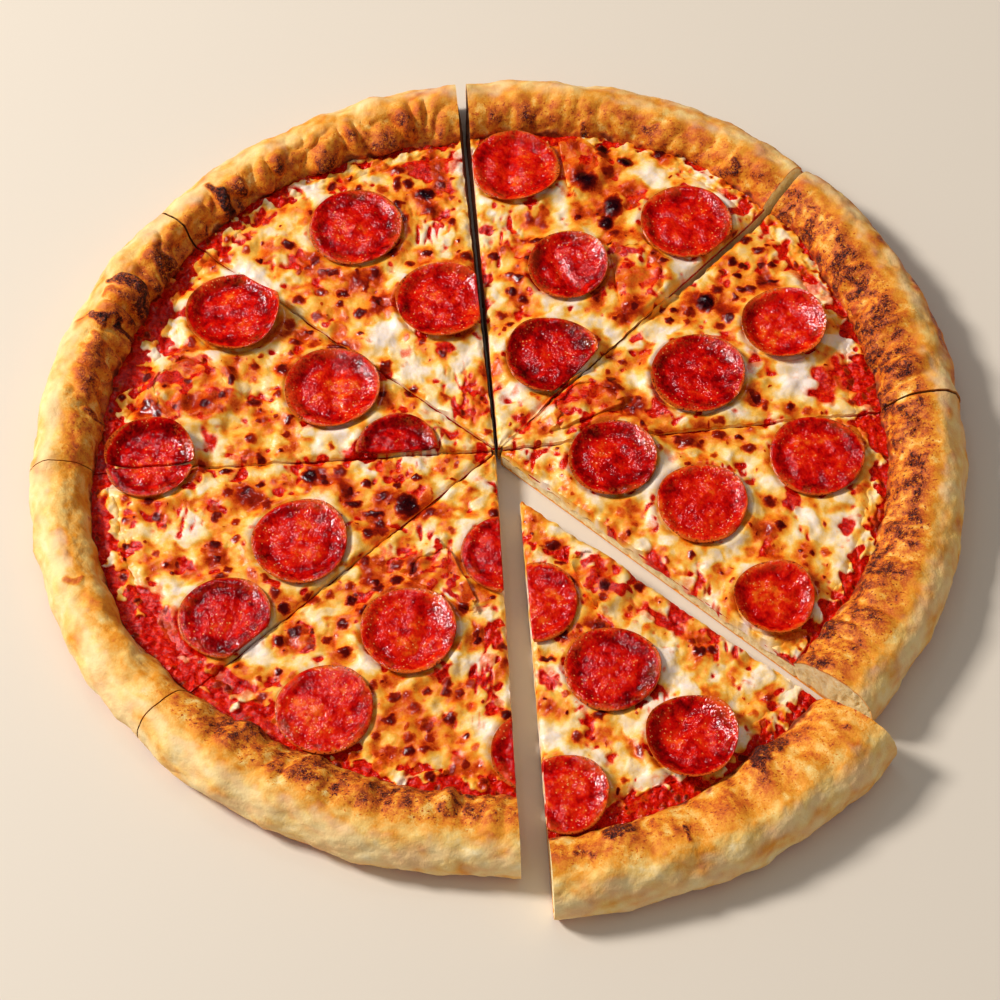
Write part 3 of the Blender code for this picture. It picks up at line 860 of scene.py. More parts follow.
# Char on the rim: photo column and row, length, width, turn, strength
CHAR = (
    (222, 199, 19, 8, -38, 1.0),
    (166, 264, 22, 15, -35, 0.75), (192, 282, 12, 8, -40, 0.9),
    (158, 287, 16, 5, -45, 0.6),
    (124, 290, 20, 6, -25, 0.85), (142, 302, 14, 6, -50, 0.9), (120, 302, 14, 5, -20, 0.62),
    (100, 324, 22, 5, -10, 0.8), (120, 328, 16, 5, -20, 1.0), (134, 346, 6, 16, 20, 0.7),
    (98, 352, 16, 9, 10, 0.62),
    (90, 370, 6, 12, 0, 0.62), (105, 392, 8, 8, 0, 0.6), (97, 414, 16, 7, -10, 0.7),
    (116, 402, 8, 6, 0, 0.62),
    (838, 335, 12, 10, 0, 0.75), (862, 322, 30, 18, -30, 0.5), (884, 345, 24, 14, -50, 0.52),
    (812, 330, 6, 8, 0, 0.8), (733, 163, 8, 5, -30, 0.75), (674, 147, 8, 5, 0, 0.7),
    (653, 140, 7, 4, 0, 0.6), (583, 127, 9, 5, -20, 0.75),
    (860, 568, 16, 12, 0, 0.66), (832, 622, 9, 7, 0, 0.75),
    (757, 751, 17, 15, 10, 1.0), (775, 742, 10, 9, 30, 0.75), (777, 727, 14, 8, -20, 0.62),
    (849, 727, 5, 5, 0, 0.8), (618, 829, 15, 8, 0, 0.85),
    (690, 837, 5, 5, 0, 0.9), (586, 855, 7, 5, 0, 0.7),
    (249, 718, 13, 9, 0, 0.85), (229, 715, 6, 5, 0, 0.8), (300, 775, 12, 9, 20, 0.62),
    (322, 766, 7, 6, 0, 0.75), (360, 782, 10, 14, 0, 0.55), (424, 788, 18, 12, 0, 0.55),
    (472, 813, 9, 7, 0, 0.7), (488, 794, 6, 6, 0, 0.65),
    (73, 584, 6, 5, 0, 0.6),
    (895, 480, 26, 10, 80, 0.5), (905, 430, 18, 8, 80, 0.45),
)


def char_mask():
    """Burned and well browned places of the rim, over the square grid."""
    mask = np.zeros((CELLS, CELLS))
    for column, row, length, width, turn, strength in CHAR:
        width, length = width * PIXELS_PER_MM, length * PIXELS_PER_MM
        part, far = oval(column, row, length, width, turn, WIDE_WARP, RIM_LEVEL)
        here = strength * smoothstep(1.08, 0.55, far)
        mask[part] = np.maximum(mask[part], here)
    return mask


CHARRED = char_mask()


def blister_rise(x, y):
    """How far the blisters lift the rim."""
    rise = np.zeros_like(x)
    for angle, distance, radius, height in BLISTERS:
        bx, by = on_circle(distance, angle)
        gap = np.hypot(x - bx, y - by) / radius
        rise += height * np.exp(-gap * gap)
    return rise


def rim_surface(angles):
    """Rows of the rim's points from its inner foot over the crown to the bottom edge, with masks."""
    reach, foot, top = outline_radius(angles), rim_foot(angles), rim_height(angles)
    crown = reach - RIM_OUTER_HALF
    foot_height = BASE_THICKNESS + RIM_FOOT_RISE
    lowest = math.sin(math.radians(LOWEST_TURN))
    cosine, sine = np.cos(np.radians(angles)), np.sin(np.radians(angles))
    rows, uprights = [], []
    for step in range(RIM_ROWS + 1):
        turn = 180.0 - (180.0 + LOWEST_TURN) * step / RIM_ROWS
        across, upright = math.cos(math.radians(turn)), math.sin(math.radians(turn))
        if turn >= 90:
            distance = crown + (crown - foot) * across
            height = foot_height + (top - foot_height) * upright ** 1.25
        else:
            distance = crown + RIM_OUTER_HALF * across
            height = RIM_WAIST + ((top - RIM_WAIST) if turn > 0 else RIM_WAIST / lowest) * upright
        swell = blister_rise(distance * cosine, distance * sine) * max(upright, 0.0)
        distance = distance + 0.3 * swell * across
        height = np.maximum(height + swell, 0.0)
        rows.append(np.column_stack([distance * cosine, distance * sine, height]))
        uprights.append(upright)
    return lifted_rim(np.array(rows), angles, uprights)


def outward_normals(grid):
    """Unit normals of the rim's grid."""
    normal = np.cross(np.gradient(grid, axis=0), np.gradient(grid, axis=1))
    normal /= np.maximum(np.linalg.norm(normal, axis=2, keepdims=True), 1e-9)
    return -normal if normal[len(grid) // 2, :, 2].mean() < 0 else normal


def inner_side(share):
    """1 on the rim's side towards the cheese."""
    return smoothstep(0.02, 0.1, share) * smoothstep(0.5, 0.3, share)


def rim_push(share, angles, ridged, char):
    """How far lumps, ridges, cracks and char lift the rim at a share of its section."""
    domes = read_round(RIM_DOMES, share, angles)
    cracks = read_round(RIM_CRACKS, share, angles)
    push = read_round(RIM_LUMPS, share, angles)
    push = push + inner_side(share) * ridged * (1.9 * domes - 1.3)
    push = push - 0.08 * cracks + 0.05 * read_round(RIM_FINE, share, angles)
    push = push + 0.9 * char - 0.4 * char * cracks
    calm = smoothstep(1.0, 0.93, share) * smoothstep(0.0, 0.04, share)
    return calm * push


def rim_marks(share, angles, ridged, toasted, browned, char):
    """Masks of the rim at a share of its section: toast, oil stain and painted shade at its foot, flour,
    roughness; toast and flour also carry painted shade.
    """
    domes = read_round(RIM_DOMES, share, angles)
    tone = read_round(RIM_TONE, share, angles)
    dusty = read_round(RIM_FLOUR, share, angles)
    blotch = read_round(RIM_BLOTCHES, share, angles)
    uneven = share + 0.018 * tone + 0.012 * blotch
    inside = smoothstep(0.42, 0.33, uneven + 0.05 * np.maximum(wave(angles, (1, 1.0, 90)), 0.0))
    outer = smoothstep(0.36, 0.50, uneven + wave(angles, (1, 0.06, 90)))
    # Painted shade: the outer side darker and less floury where it faces away from the key lamp
    outside = browned * smoothstep(0.5, 0.72, uneven)
    # The whole rim a little darker round the upper right, away from the key lamp: painted shade
    level = 0.27 + 0.05 * tone + 0.03 * (1.0 - outer) + wave(angles, (1, 0.035, 60))
    level = level + toasted * inside * (0.17 + 0.07 * blotch)
    level = level + 0.20 * smoothstep(0.88, 0.97, share + 0.01 * tone)
    level = level + inner_side(share) * ridged * 0.09 * (domes - 0.55)
    level = level + 0.2 * outside
    burned = np.where(char > 0.05, level * 0.25 + char * 0.68, 0.0)
    # Less flour round the upper right, away from the key lamp: painted shade
    floury = np.clip(0.62 + 0.2 * dusty - wave(angles, (1, 0.16, 60)), 0.1, 1.0)
    floury = floury * outer * smoothstep(0.97, 0.85, share)
    return {
        "toast": np.maximum(level, burned),
        # Oil stain at the rim's foot; right at the foot it also carries painted shade where the rim meets
        # the sauce
        "stain": smoothstep(0.13, 0.01, share + 0.03 * tone),
        "flour": floury * (1.0 - char) * (1.0 - 0.7 * outside),
        "rough": toasted * inside,
    }


def lifted_rim(grid, angles, uprights):
    """The rim's grid pushed out along its normals, and the masks of each of its rows."""
    normal = outward_normals(grid)
    ridged = along_rim(RIDGED, 0.08, angles)
    toasted = along_rim(TOASTED, 0.05, angles)
    # Stretches whose outer side gets painted shade
    browned = along_rim(PAINTED_SHADE_OUTSIDE, 0.0, angles)
    marks = []
    for step, upright in enumerate(uprights):
        share = step / (len(grid) - 1)
        char = read_square(CHARRED, grid[step, :, 0], grid[step, :, 1])
        char = char * smoothstep(-0.1, 0.25, upright)
        grid[step] += normal[step] * rim_push(share, angles, ridged, char)[:, None]
        marks.append(rim_marks(share, angles, ridged, toasted, browned, char))
    return grid, marks


# Cut faces that stand open round the slid slice: slice, and 0 for its first cut or 1 for its last
# The crumb of all other cut faces, in narrow gaps, gets painted shade
OPEN_CUTS = ((1, 1), (2, 0), (3, 1), (4, 0), (4, 1), (5, 0))

# Rows down a cut face: share of its height, and how much is white crumb rather than baked skin
CRUMB_LEVELS = ((0.05, 0.45), (0.14, 1.0), (0.3, 1.0), (0.5, 1.0), (0.7, 1.0), (0.86, 0.62), (0.95, 0.3))
SKIN_TOAST = 0.42

# Cuts whose dough stays close together below the cheese: half their width at the tip, how it
# grows outwards, how much of it the dough fills, and where it has stopped and starts to do so
CLOSE_CUTS = ((8, 1), (1, 0))
HALF_GAP = 0.55
HALF_GAP_GROWTH = 0.0096
FILLED = 0.8
FILL_FADE = (170.0, 152.0)


def swollen(number, side, along, level):
    """How far the dough of a cut face stands out from the cut, below its edge."""
    if (number, side) not in CLOSE_CUTS:
        return 0.0
    room = HALF_GAP + HALF_GAP_GROWTH * along
    return FILLED * room * smoothstep(0.08, 0.4, level) * smoothstep(*FILL_FADE, along)


CUT_CRUMB = grain(2.6, 91)


def wall(shell, number, side, tops, unders, levels):
    """Cut face of a slice's crust: rows between its upper and lower edge, with holes of the crumb."""
    points = shell.all_points()
    upper, lower = points[tops], points[unders]
    inward = inward_of(number)[side]
    # Painted shade on the crumb of cut faces in narrow gaps
    soaked = 0.0 if (number, side) in OPEN_CUTS else 1.0
    rows = [tops[1:-1]]
    for level, crumb in levels:
        middle = upper[1:-1] + (lower[1:-1] - upper[1:-1]) * level
        along = np.hypot(middle[:, 0], middle[:, 1])
        lane = np.full(len(along), (number * 2 + side) * 19.0 - HALF * 0.9)
        holes = read_square(CUT_CRUMB, along - HALF * 0.5, lane + middle[:, 2])
        depth = 0.12 + 0.55 * smoothstep(0.4, 1.8, holes) - swollen(number, side, along, level)
        middle[:, 0] += inward[0] * depth
        middle[:, 1] += inward[1] * depth
        rows.append(shell.row(middle, crumb=crumb, soaked=soaked, toast=SKIN_TOAST))
    rows.append(unders[1:-1])
    shell.join(rows)
    for end in (0, -1):
        spine = [row[end] for row in rows] + [unders[end]]
        fan = [(tops[end], one, other) for one, other in zip(spine, spine[1:])]
        shell.faces.append(np.array(fan))


def close_wedge(shell, number, tops, unders, levels=()):
    """Faces of a wedge: its top rows, its underside rows and the walls between them."""
    shell.join(tops)
    shell.join(unders)
    shell.join([tops[0], unders[0]])
    shell.join([tops[-1], unders[-1]])
    for side, end in enumerate((0, -1)):
        upper = np.array([row[end] for row in tops])
        lower = np.array([row[end] for row in unders])
        if levels:
            wall(shell, number, side, upper, lower, levels)
        else:
            shell.strip(upper, lower)


def plain_row(shell, number, distance, height, count=HIDDEN_COLUMNS + 1, **marks):
    """Row of vertices across a slice, at one height or at a height for each point."""
    x, y = wedge_row(number, distance, count)
    level = height(x, y) if callable(height) else np.full(count, float(height))
    return shell.row(np.column_stack([x, y, level]), **marks)


def base_height(x, y):
    """Top of the dough inside the rim."""
    flat = rim_foot(np.degrees(np.arctan2(y, x))) - FOOT_FILLET
    return BASE_THICKNESS + RIM_FOOT_RISE * np.clip((np.hypot(x, y) - flat) / FOOT_FILLET, 0.0, 1.0)


def over_the_dough(x, y):
    """Underside of the sauce that lies on the dough."""
    return base_height(x, y) + CLEARANCE


# How far the underside of the crust reaches out past the rim's crown
UNDERSIDE_REACH = RIM_OUTER_HALF * math.cos(math.radians(LOWEST_TURN)) - 0.6


def crust_slice(number):
    """Crust of one slice: flat dough under the sauce and the puffed rim."""
    shell = Shell()
    angles = np.linspace(*cuts_of(number), COLUMNS + 1)
    grid, marks = rim_surface(angles)
    steps = int(rim_foot(angles).mean() / BASE_STEP)
    tops, unders = [], []
    for step in range(steps):
        share = (step + 0.4) / steps

        def distance(angle):
            return share * rim_foot(angle)
        tops.append(plain_row(shell, number, distance, base_height, toast=0.25))
        unders.append(plain_row(shell, number, distance, 0.0, toast=0.3))
    for step, row in enumerate(grid):
        tops.append(shell.row(row, **marks[step]))
        share = step / (len(grid) - 1)
        inner = min(2.0 * share, 1.0)
        outer = max(2.0 * share - 1.0, 0.0)

        def distance(angle):
            crown = outline_radius(angle) - RIM_OUTER_HALF
            return rim_foot(angle) * (1.0 - inner) + crown * inner + UNDERSIDE_REACH * outer
        count = COLUMNS + 1 if step == len(grid) - 1 else HIDDEN_COLUMNS + 1
        unders.append(plain_row(shell, number, distance, 0.0, count, toast=0.32))
    close_wedge(shell, number, tops, unders, CRUMB_LEVELS)
    return shell


# Sauce: how far inside the cheese's edge its plain rows end and its grainy ones start, how far
# up the rim it ends, and its grains
HIDDEN_SAUCE_TUCK = 5.0
SAUCE_TUCK = 4.5
SAUCE_ON_RIM = 0.9
SAUCE_GRAIN = 0.7 * grain(2.4, 95) + 0.5 * grain(5.0, 96)


def sauce_slice(number):
    """Sauce of one slice: a thin layer, and the grainy band that shows inside the rim."""
    shell = Shell()
    tops, unders = [], []
    for step in range(HIDDEN_SAUCE_ROWS):
        share = (step + 0.4) / HIDDEN_SAUCE_ROWS

        def distance(angle):
            return share * (cheese_edge(angle) - HIDDEN_SAUCE_TUCK)
        tops.append(plain_row(shell, number, distance, SAUCE_TOP, red=1.0))
        unders.append(plain_row(shell, number, distance, BASE_THICKNESS + CLEARANCE, red=1.0))
    for step in range(SAUCE_ROWS + 1):
        share = step / SAUCE_ROWS

        def distance(angle):
            start, end = cheese_edge(angle) - SAUCE_TUCK, rim_foot(angle) + SAUCE_ON_RIM
            return start * (1.0 - share) + end * share
        x, y = wedge_row(number, distance, COLUMNS + 1)
        height = SAUCE_TOP + 1.4 * SAUCE_BEAD * math.sin(math.pi * share ** 0.8) + 1.3 * share ** 3
        red = smoothstep(0.3, 0.7, read_square(RED, x, y))
        height = height + 0.38 * read_square(SAUCE_GRAIN, x, y) * smoothstep(0.0, 0.2, share)
        height = height + 0.8 * (1.0 - red) + 0.5 * read_square(CORE, x, y)
        tops.append(shell.row(np.column_stack([x, y, height]), **cheese_marks(x, y)))
        count = COLUMNS + 1 if step == SAUCE_ROWS else HIDDEN_COLUMNS + 1
        unders.append(plain_row(shell, number, distance, over_the_dough, count, red=1.0))
    close_wedge(shell, number, tops, unders)
    return shell


# Cheese: share of its length at which its tip starts, and how much of the uneven draw from the
# cuts its top and its underside take
TIP_SHARE = 0.006
TOP_DRAWN_BACK = 0.6
UNDER_DRAWN_BACK = 0.2


def cheese_slice(number):
    """Melted cheese of one slice: dense uneven top, rounded cut edges, plain underside."""
    shell = Shell()
    tops, unders = [], []
    for step in range(CHEESE_ROWS + 1):
        share = TIP_SHARE + (1.0 - TIP_SHARE) * step / CHEESE_ROWS

        def distance(angle):
            return share * cheese_edge(angle)
        x, y = wedge_row(number, distance, columns_at(share), TOP_DRAWN_BACK)
        droop = 0.9 * np.exp(-(to_cuts(number, x, y) / 1.1) ** 2) + 1.5 * smoothstep(0.96, 1.0, share)
        height = np.maximum(read_square(CHEESE_HEIGHT, x, y) - droop, CHEESE_BOTTOM + 0.5)
        tops.append(shell.row(np.column_stack([x, y, height]), **cheese_marks(x, y)))
        count = COLUMNS + 1 if step == CHEESE_ROWS else HIDDEN_COLUMNS + 1
        x, y = wedge_row(number, distance, count, UNDER_DRAWN_BACK)
        under = run_down(np.column_stack([x, y, np.full(count, CHEESE_BOTTOM)]), number, step)
        unders.append(shell.row(under, **cheese_marks(under[:, 0], under[:, 1], 0.5)))
    close_wedge(shell, number, tops, unders)
    return shell


# Open cuts that cheese has run down: how far it hangs, how unevenly, and how far it stands out
DRIPPING_CUTS = ((3, 1), (4, 0), (4, 1), (5, 0))
DRIP = 1.6
DRIP_WOBBLE = 1.3
DRIP_OUT = 0.35


def run_down(row, number, step):
    """Row of the cheese's underside, its ends hanging down in front of the open cuts."""
    ends = []
    for side, (way, end) in enumerate(zip(inward_of(number), (0, -1))):
        hang = DRIP + DRIP_WOBBLE * CUT_WOBBLE[number * 20 + side, 2 * step]
        spot = row[end] - np.array([DRIP_OUT * way[0], DRIP_OUT * way[1], max(hang, 0.5)])
        ends.append([spot] if (number, side) in DRIPPING_CUTS else np.empty((0, 3)))
    return np.vstack([ends[0], row, ends[1]])


def cheese_marks(x, y, share=1.0):
    """Masks of the cheese at points."""
    return {"brown": share * read_square(BROWN, x, y), "red": read_square(RED, x, y),
            "spot": share * read_square(SPOT, x, y), "deep": read_square(DEEP, x, y)}


def disc_limits(disc):
    """Planes that cut a pepperoni: outward direction and distance from its middle."""
    limits = [(on_circle(1.0, direction), reach) for direction, reach in disc.trims]
    if disc.name not in ACROSS_THE_CUT:
        middle = on_circle(disc.distance, disc.angle)
        limits += [(-way, middle @ way) for way in inward_of(disc.number)]
    return limits


def disc_outline(disc, draw):
    """Edge of a pepperoni round its middle, uneven and cut, and a point well inside it."""
    turns = np.linspace(0.0, 360.0, DISC_COLUMNS, endpoint=False)
    phases = 360.0 * draw.random(3)
    uneven = wave(turns, (2, 0.018, phases[0]), (3, 0.014, phases[1]), (7, 0.004, phases[2]))
    edge = ring(disc.radius * (0.985 + uneven), turns)
    inside = np.zeros(2)
    limits = disc_limits(disc)
    for away, most in limits:
        if most < 0.35 * disc.radius:
            inside = inside + away * (0.5 * (most - disc.radius) - inside @ away)
    for away, most in limits:
        ahead = (edge - inside) @ away
        room = most - inside @ away
        share = np.where(ahead > room, room / np.maximum(ahead, 1e-6), 1.0)
        edge = inside + (edge - inside) * share[:, None]
    return edge, inside


# Creases pressed into pepperoni: name, direction of the line, its distance from the middle,
# depth and width
CREASES = (
    ("1a", 82, -2.0, 1.1, 3.2), ("7b", 95, 1.0, 1.0, 3.5), ("5a", 80, 6.0, 1.2, 3.6),
    ("6b", 70, 4.0, 0.9, 4.0), ("8a", 60, 5.0, 0.7, 4.0), ("3a", 120, 3.0, 0.7, 4.0),
    ("1c", 120, -3.0, 1.8, 3.0), ("4b", 60, -6.0, 0.8, 4.0),
)

# Pepperoni that are darker or brighter than the others
SHADES = {
    "1d": -0.08, "2a": 0.04, "2b": -0.04, "3a": -0.04, "3b": 0.02, "3d": 0.05, "4a": -0.04,
    "4b": -0.10, "4c": 0.03, "4d": 0.05, "5b": 0.02, "5d": 0.02, "6a": -0.05, "6b": -0.06,
    "7b": 0.04, "7c": -0.10, "7d": -0.10,
}

# Way from a pepperoni's middle to its edge, and on round the edge and back along its underside:
# shares of its radius and of its thickness
SMALLEST_LOOP = 0.004
TOP_REACH = 0.965
ROUND_THE_EDGE = (
    (0.99, 0.86), (1.0, 0.5), (0.99, 0.15), (0.96, 0.0), (0.7, 0.0), (0.35, 0.0), (0.0, 0.0))

DISC_LUMPS = grain(6.0, 101)
DISC_FINE = grain(2.0, 102)


def creased(name, over, down, share):
    """How deep a pepperoni is creased at points from its middle."""
    depths = np.zeros_like(share)
    for crease, direction, offset, depth, width in CREASES:
        if crease == name:
            line = on_circle(1.0, direction - 90.0)
            gap = (over * line[0] + down * line[1] - offset) / width
            depths = depths + depth * np.exp(-gap * gap) * smoothstep(1.02, 0.75, share)
    return depths


def disc_height(disc, over, down, phases):
    """A pepperoni's underside and top at points from its middle, and their share of its radius."""
    share = np.hypot(over, down) / disc.radius
    turn = np.degrees(np.arctan2(down, over))
    x, y = on_circle(disc.distance, disc.angle)
    uneven = wave(turn, (2, 0.28, phases[0]), (3, 0.18, phases[1]))
    curled = 1.1 * disc.curl * (1.0 + uneven * share)
    outward = (over * x + down * y) / disc.distance
    under = curled * share ** 3.2 + outward * math.tan(math.radians(disc.tilt))
    soft = min(1.0, disc.curl / 2.0)
    top = under + PEPPERONI_THICKNESS * (1.0 - 0.5 * smoothstep(0.8, 1.0, share))
    lopsided = 1.0 + 0.5 * np.cos(np.radians(turn - phases[2]))
    top = top - soft * 0.75 * lopsided * np.exp(-((share - 0.70) / 0.15) ** 2)
    top = top + soft * 0.45 * np.exp(-(share / 0.42) ** 2)
    calm = smoothstep(1.0, 0.88, share)
    lumps = 0.4 if disc.name in UNDER_CHEESE else 0.18
    top = top + calm * lumps * read_square(DISC_LUMPS, over + x, down + y)
    top = top + calm * 0.05 * read_square(DISC_FINE, over + x, down + y)
    top = top - creased(disc.name, over, down, share)
    return under, np.maximum(top, under + 0.5), share


def pepperoni_shell(disc):
    """One curled pepperoni on the cheese of its slice."""
    draw = np.random.default_rng(sum(disc.name.encode()) * 7)
    edge, inside = disc_outline(disc, draw)
    phases = 360.0 * draw.random(3)
    shade = SHADES.get(disc.name, 0.0) + 0.1 * (draw.random() - 0.5)
    x, y = on_circle(disc.distance, disc.angle)
    length = length_of(disc.number)
    shell = Shell()
    across = [(step / DISC_ROWS * TOP_REACH, 1.0) for step in range(DISC_ROWS + 1)]
    heights = []
    for share, level in (*across, *ROUND_THE_EDGE):
        spots = inside + (edge - inside) * max(share, SMALLEST_LOOP)
        under, top, far = disc_height(disc, spots[:, 0], spots[:, 1], phases)
        heights.append((spots, under + (top - under) * level, far))
    lowest = min(height.min() for spots, height, far in heights)
    loops = []
    for spots, height, far in heights:
        over, down = spots[:, 0] + x, spots[:, 1] + y
        rested = height - lowest + CHEESE_TOP + CLEARANCE
        marks = cheese_marks(over / length, down / length)
        loop = shell.row(np.column_stack([over, down, rested]), far=far, shade=shade, **marks)
        loops.append(np.append(loop, loop[0]))
    shell.join(loops)
    for loop in (loops[0], loops[-1]):
        middle = shell.all_points()[loop[:-1]].mean(axis=0)
        hub = shell.row(middle, shade=shade, **cheese_marks(middle[:1], middle[1:2]))
        shell.strip(np.full(len(loop), hub[0]), loop)
    return shell


# Materials: how uneven their noises are, and how strongly cheese and sauce mirror the light
NOISE_ROUGHNESS = 0.55
CHEESE_SHINE = 0.26
SAUCE_SHINE = 0.16


class Finish:
    """A Principled material and short ways to add nodes to it."""

    def __init__(self, name, roughness=0.5):
        self.material = bpy.data.materials.new(name)
        self.material.use_nodes = True
        self.tree = self.material.node_tree
        self.shader = self.tree.nodes["Principled BSDF"]
        self.shader.inputs["Roughness"].default_value = roughness
        self.coordinates = self.tree.nodes.new("ShaderNodeTexCoord").outputs["Object"]

    def node(self, kind, inputs=(), **settings):
        """New node; inputs are (name or index, value or output) pairs."""
        made = self.tree.nodes.new(kind)
        for name, value in settings.items():
            setattr(made, name, value)
        for name, value in inputs:
            self.put(value, made.inputs[name])
        return made

    def put(self, value, socket):
        """Link an output to a socket, or set its value."""
        if isinstance(value, bpy.types.NodeSocket):
            self.tree.links.new(value, socket)
        else:
            socket.default_value = value

    def mask(self, name):
        """One of the piece's attributes."""
        return self.node("ShaderNodeAttribute", attribute_name=name).outputs["Fac"]

    def noise(self, size, detail=3.0):
        """Noise with lumps of a size in millimetres."""
        inputs = (("Vector", self.coordinates), ("Scale", 1.0 / (size * MM)), ("Detail", detail),
                  ("Roughness", NOISE_ROUGHNESS))
        return self.node("ShaderNodeTexNoise", inputs).outputs["Fac"]

    def cells(self, size):
        """Distance from scattered points that lie a size in millimetres apart."""
        inputs = (("Vector", self.coordinates), ("Scale", 1.0 / (size * MM)))
        return self.node("ShaderNodeTexVoronoi", inputs).outputs["Distance"]

    def sum(self, value, factor, offset=0.0):
        """Value times factor plus offset."""
        inputs = ((0, value), (1, factor), (2, offset))
        return self.node("ShaderNodeMath", inputs, operation="MULTIPLY_ADD").outputs[0]

    def around(self, value, spread):
        """A value of average one half, moved to average 0 and spread."""
        return self.sum(value, spread, -0.5 * spread)

    def two(self, operation, one, other):
        """A mathematical operation on two values."""
        return self.node("ShaderNodeMath", ((0, one), (1, other)), operation=operation).outputs[0]

    def add(self, one, other):
        """Sum of two values."""
        return self.two("ADD", one, other)

    def times(self, one, other):
        """Product of two values."""
        return self.two("MULTIPLY", one, other)

    def band(self, value, low, high):
        """0 below low, 1 above high, smooth between."""
        inputs = (("Value", value), ("From Min", low), ("From Max", high))
        return self.node("ShaderNodeMapRange", inputs, interpolation_type="SMOOTHSTEP").outputs["Result"]

    def mix(self, factor, one, other):
        """Mix of two colours, all of the second where the factor is 1."""
        made = self.node("ShaderNodeMix", data_type="RGBA")
        self.put(factor, made.inputs["Factor"])
        self.put(one, made.inputs[6])
        self.put(other, made.inputs[7])
        return made.outputs[2]

    def paint(self, under, mask, colour, most=1.0):
        """A screen colour laid over another one where a mask says, and at most so strongly."""
        return self.mix(mask if most == 1.0 else self.sum(mask, most), under, srgb(*colour))

    def ramp(self, value, stops):
        """Colour by value: stops are positions and screen colours."""
        made = self.node("ShaderNodeValToRGB", (("Fac", value),))
        elements = made.color_ramp.elements
        while len(elements) < len(stops):
            elements.new(0.5)
        for element, (position, colour) in zip(elements, stops):
            element.position = position
            element.color = srgb(*colour)
        return made.outputs["Color"]

    def bump(self, height, depth):
        """Fine relief of a depth in millimetres."""
        inputs = (("Height", height), ("Distance", depth * MM), ("Strength", 1.0))
        self.put(self.node("ShaderNodeBump", inputs).outputs["Normal"], self.shader.inputs["Normal"])

    def colour(self, value):
        """Set the base colour."""
        self.put(value, self.shader.inputs["Base Color"])

    def set(self, **values):
        """Set sockets of the shader to plain values or outputs."""
        for name, value in values.items():
            self.put(value, self.shader.inputs[name.replace("_", " ").title().replace("Ior", "IOR")])


# Colours by how far each thing is baked, or by its tone
CHEESE_COLOURS = (
    (0.00, (250, 230, 216)), (0.14, (251, 215, 154)), (0.28, (249, 187, 72)), (0.42, (244, 138, 22)),
    (0.54, (218, 80, 8)), (0.66, (164, 34, 6)), (0.80, (98, 12, 6)), (1.00, (24, 3, 8)),
)
SAUCE_COLOURS = ((0.20, (104, 0, 0)), (0.38, (184, 4, 0)), (0.56, (226, 28, 4)), (0.8, (240, 90, 22)))
PEPPERONI_COLOURS = (
    (0.10, (84, 0, 2)), (0.30, (146, 0, 2)), (0.48, (198, 6, 2)), (0.64, (222, 32, 4)),
    (0.84, (240, 96, 20)),
)
CRUST_COLOURS = (
    (0.00, (250, 228, 178)), (0.18, (246, 200, 112)), (0.34, (236, 152, 36)), (0.48, (208, 98, 14)),
    (0.60, (168, 68, 18)), (0.74, (108, 34, 18)), (0.88, (66, 22, 22)), (1.00, (26, 14, 20)),
)
CRUMB_COLOURS = ((0.35, (236, 196, 124)), (0.5, (250, 228, 172)), (0.7, (254, 244, 212)))

# Single colours laid over those
THIN_CHEESE = (240, 80, 18)
FAT_GRAIN = (246, 150, 84)
ROASTED = (212, 104, 40)
DISC_EDGE = (206, 92, 26)
CRISP_EDGE = (84, 10, 6)
OIL_STAIN = (196, 60, 10)
# Darkest at the rim's foot: burnt bits and painted shade
DARK_STAIN_AND_SHADE = (96, 16, 6)
FLOUR_DUST = (246, 224, 176)
# Painted shade on crumb in narrow gaps
PAINTED_SHADE_CRUMB = (96, 30, 12)
FLOOR_COLOUR = (226, 214, 198)


def cheese_finish(name, shine):
    """Oily melted cheese, browned in spots, with sauce showing where it is thin; also the sauce."""
    made = Finish(name)
    ripple = made.add(made.around(made.noise(0.8), 0.9), made.around(made.noise(2.6), 0.9))
    spot = made.add(made.mask("spot"), made.sum(ripple, 0.10))
    burned = made.times(made.mask("deep"), made.band(spot, 0.02, 0.78))
    brown = made.add(made.two("MAXIMUM", made.mask("brown"), burned), made.sum(ripple, 0.20))
    browned = made.ramp(brown, CHEESE_COLOURS)
    red = made.add(made.mask("red"), made.sum(ripple, 0.26))
    colour = made.paint(browned, made.band(red, 0.08, 0.44), THIN_CHEESE, 0.68)
    shows = made.band(red, 0.38, 0.62)
    colour = made.mix(shows, colour, made.ramp(made.sum(ripple, 0.8, 0.46), SAUCE_COLOURS))
    dark = made.band(brown, 0.5, 0.62)
    made.colour(made.mix(dark, colour, browned))
    wet = made.two("MAXIMUM", shows, dark)
    made.set(roughness=made.sum(wet, -0.16, 0.32), specular_ior_level=shine)
    made.bump(made.times(made.sum(shows, 0.7, 0.3), ripple), 0.36)
    return made.material


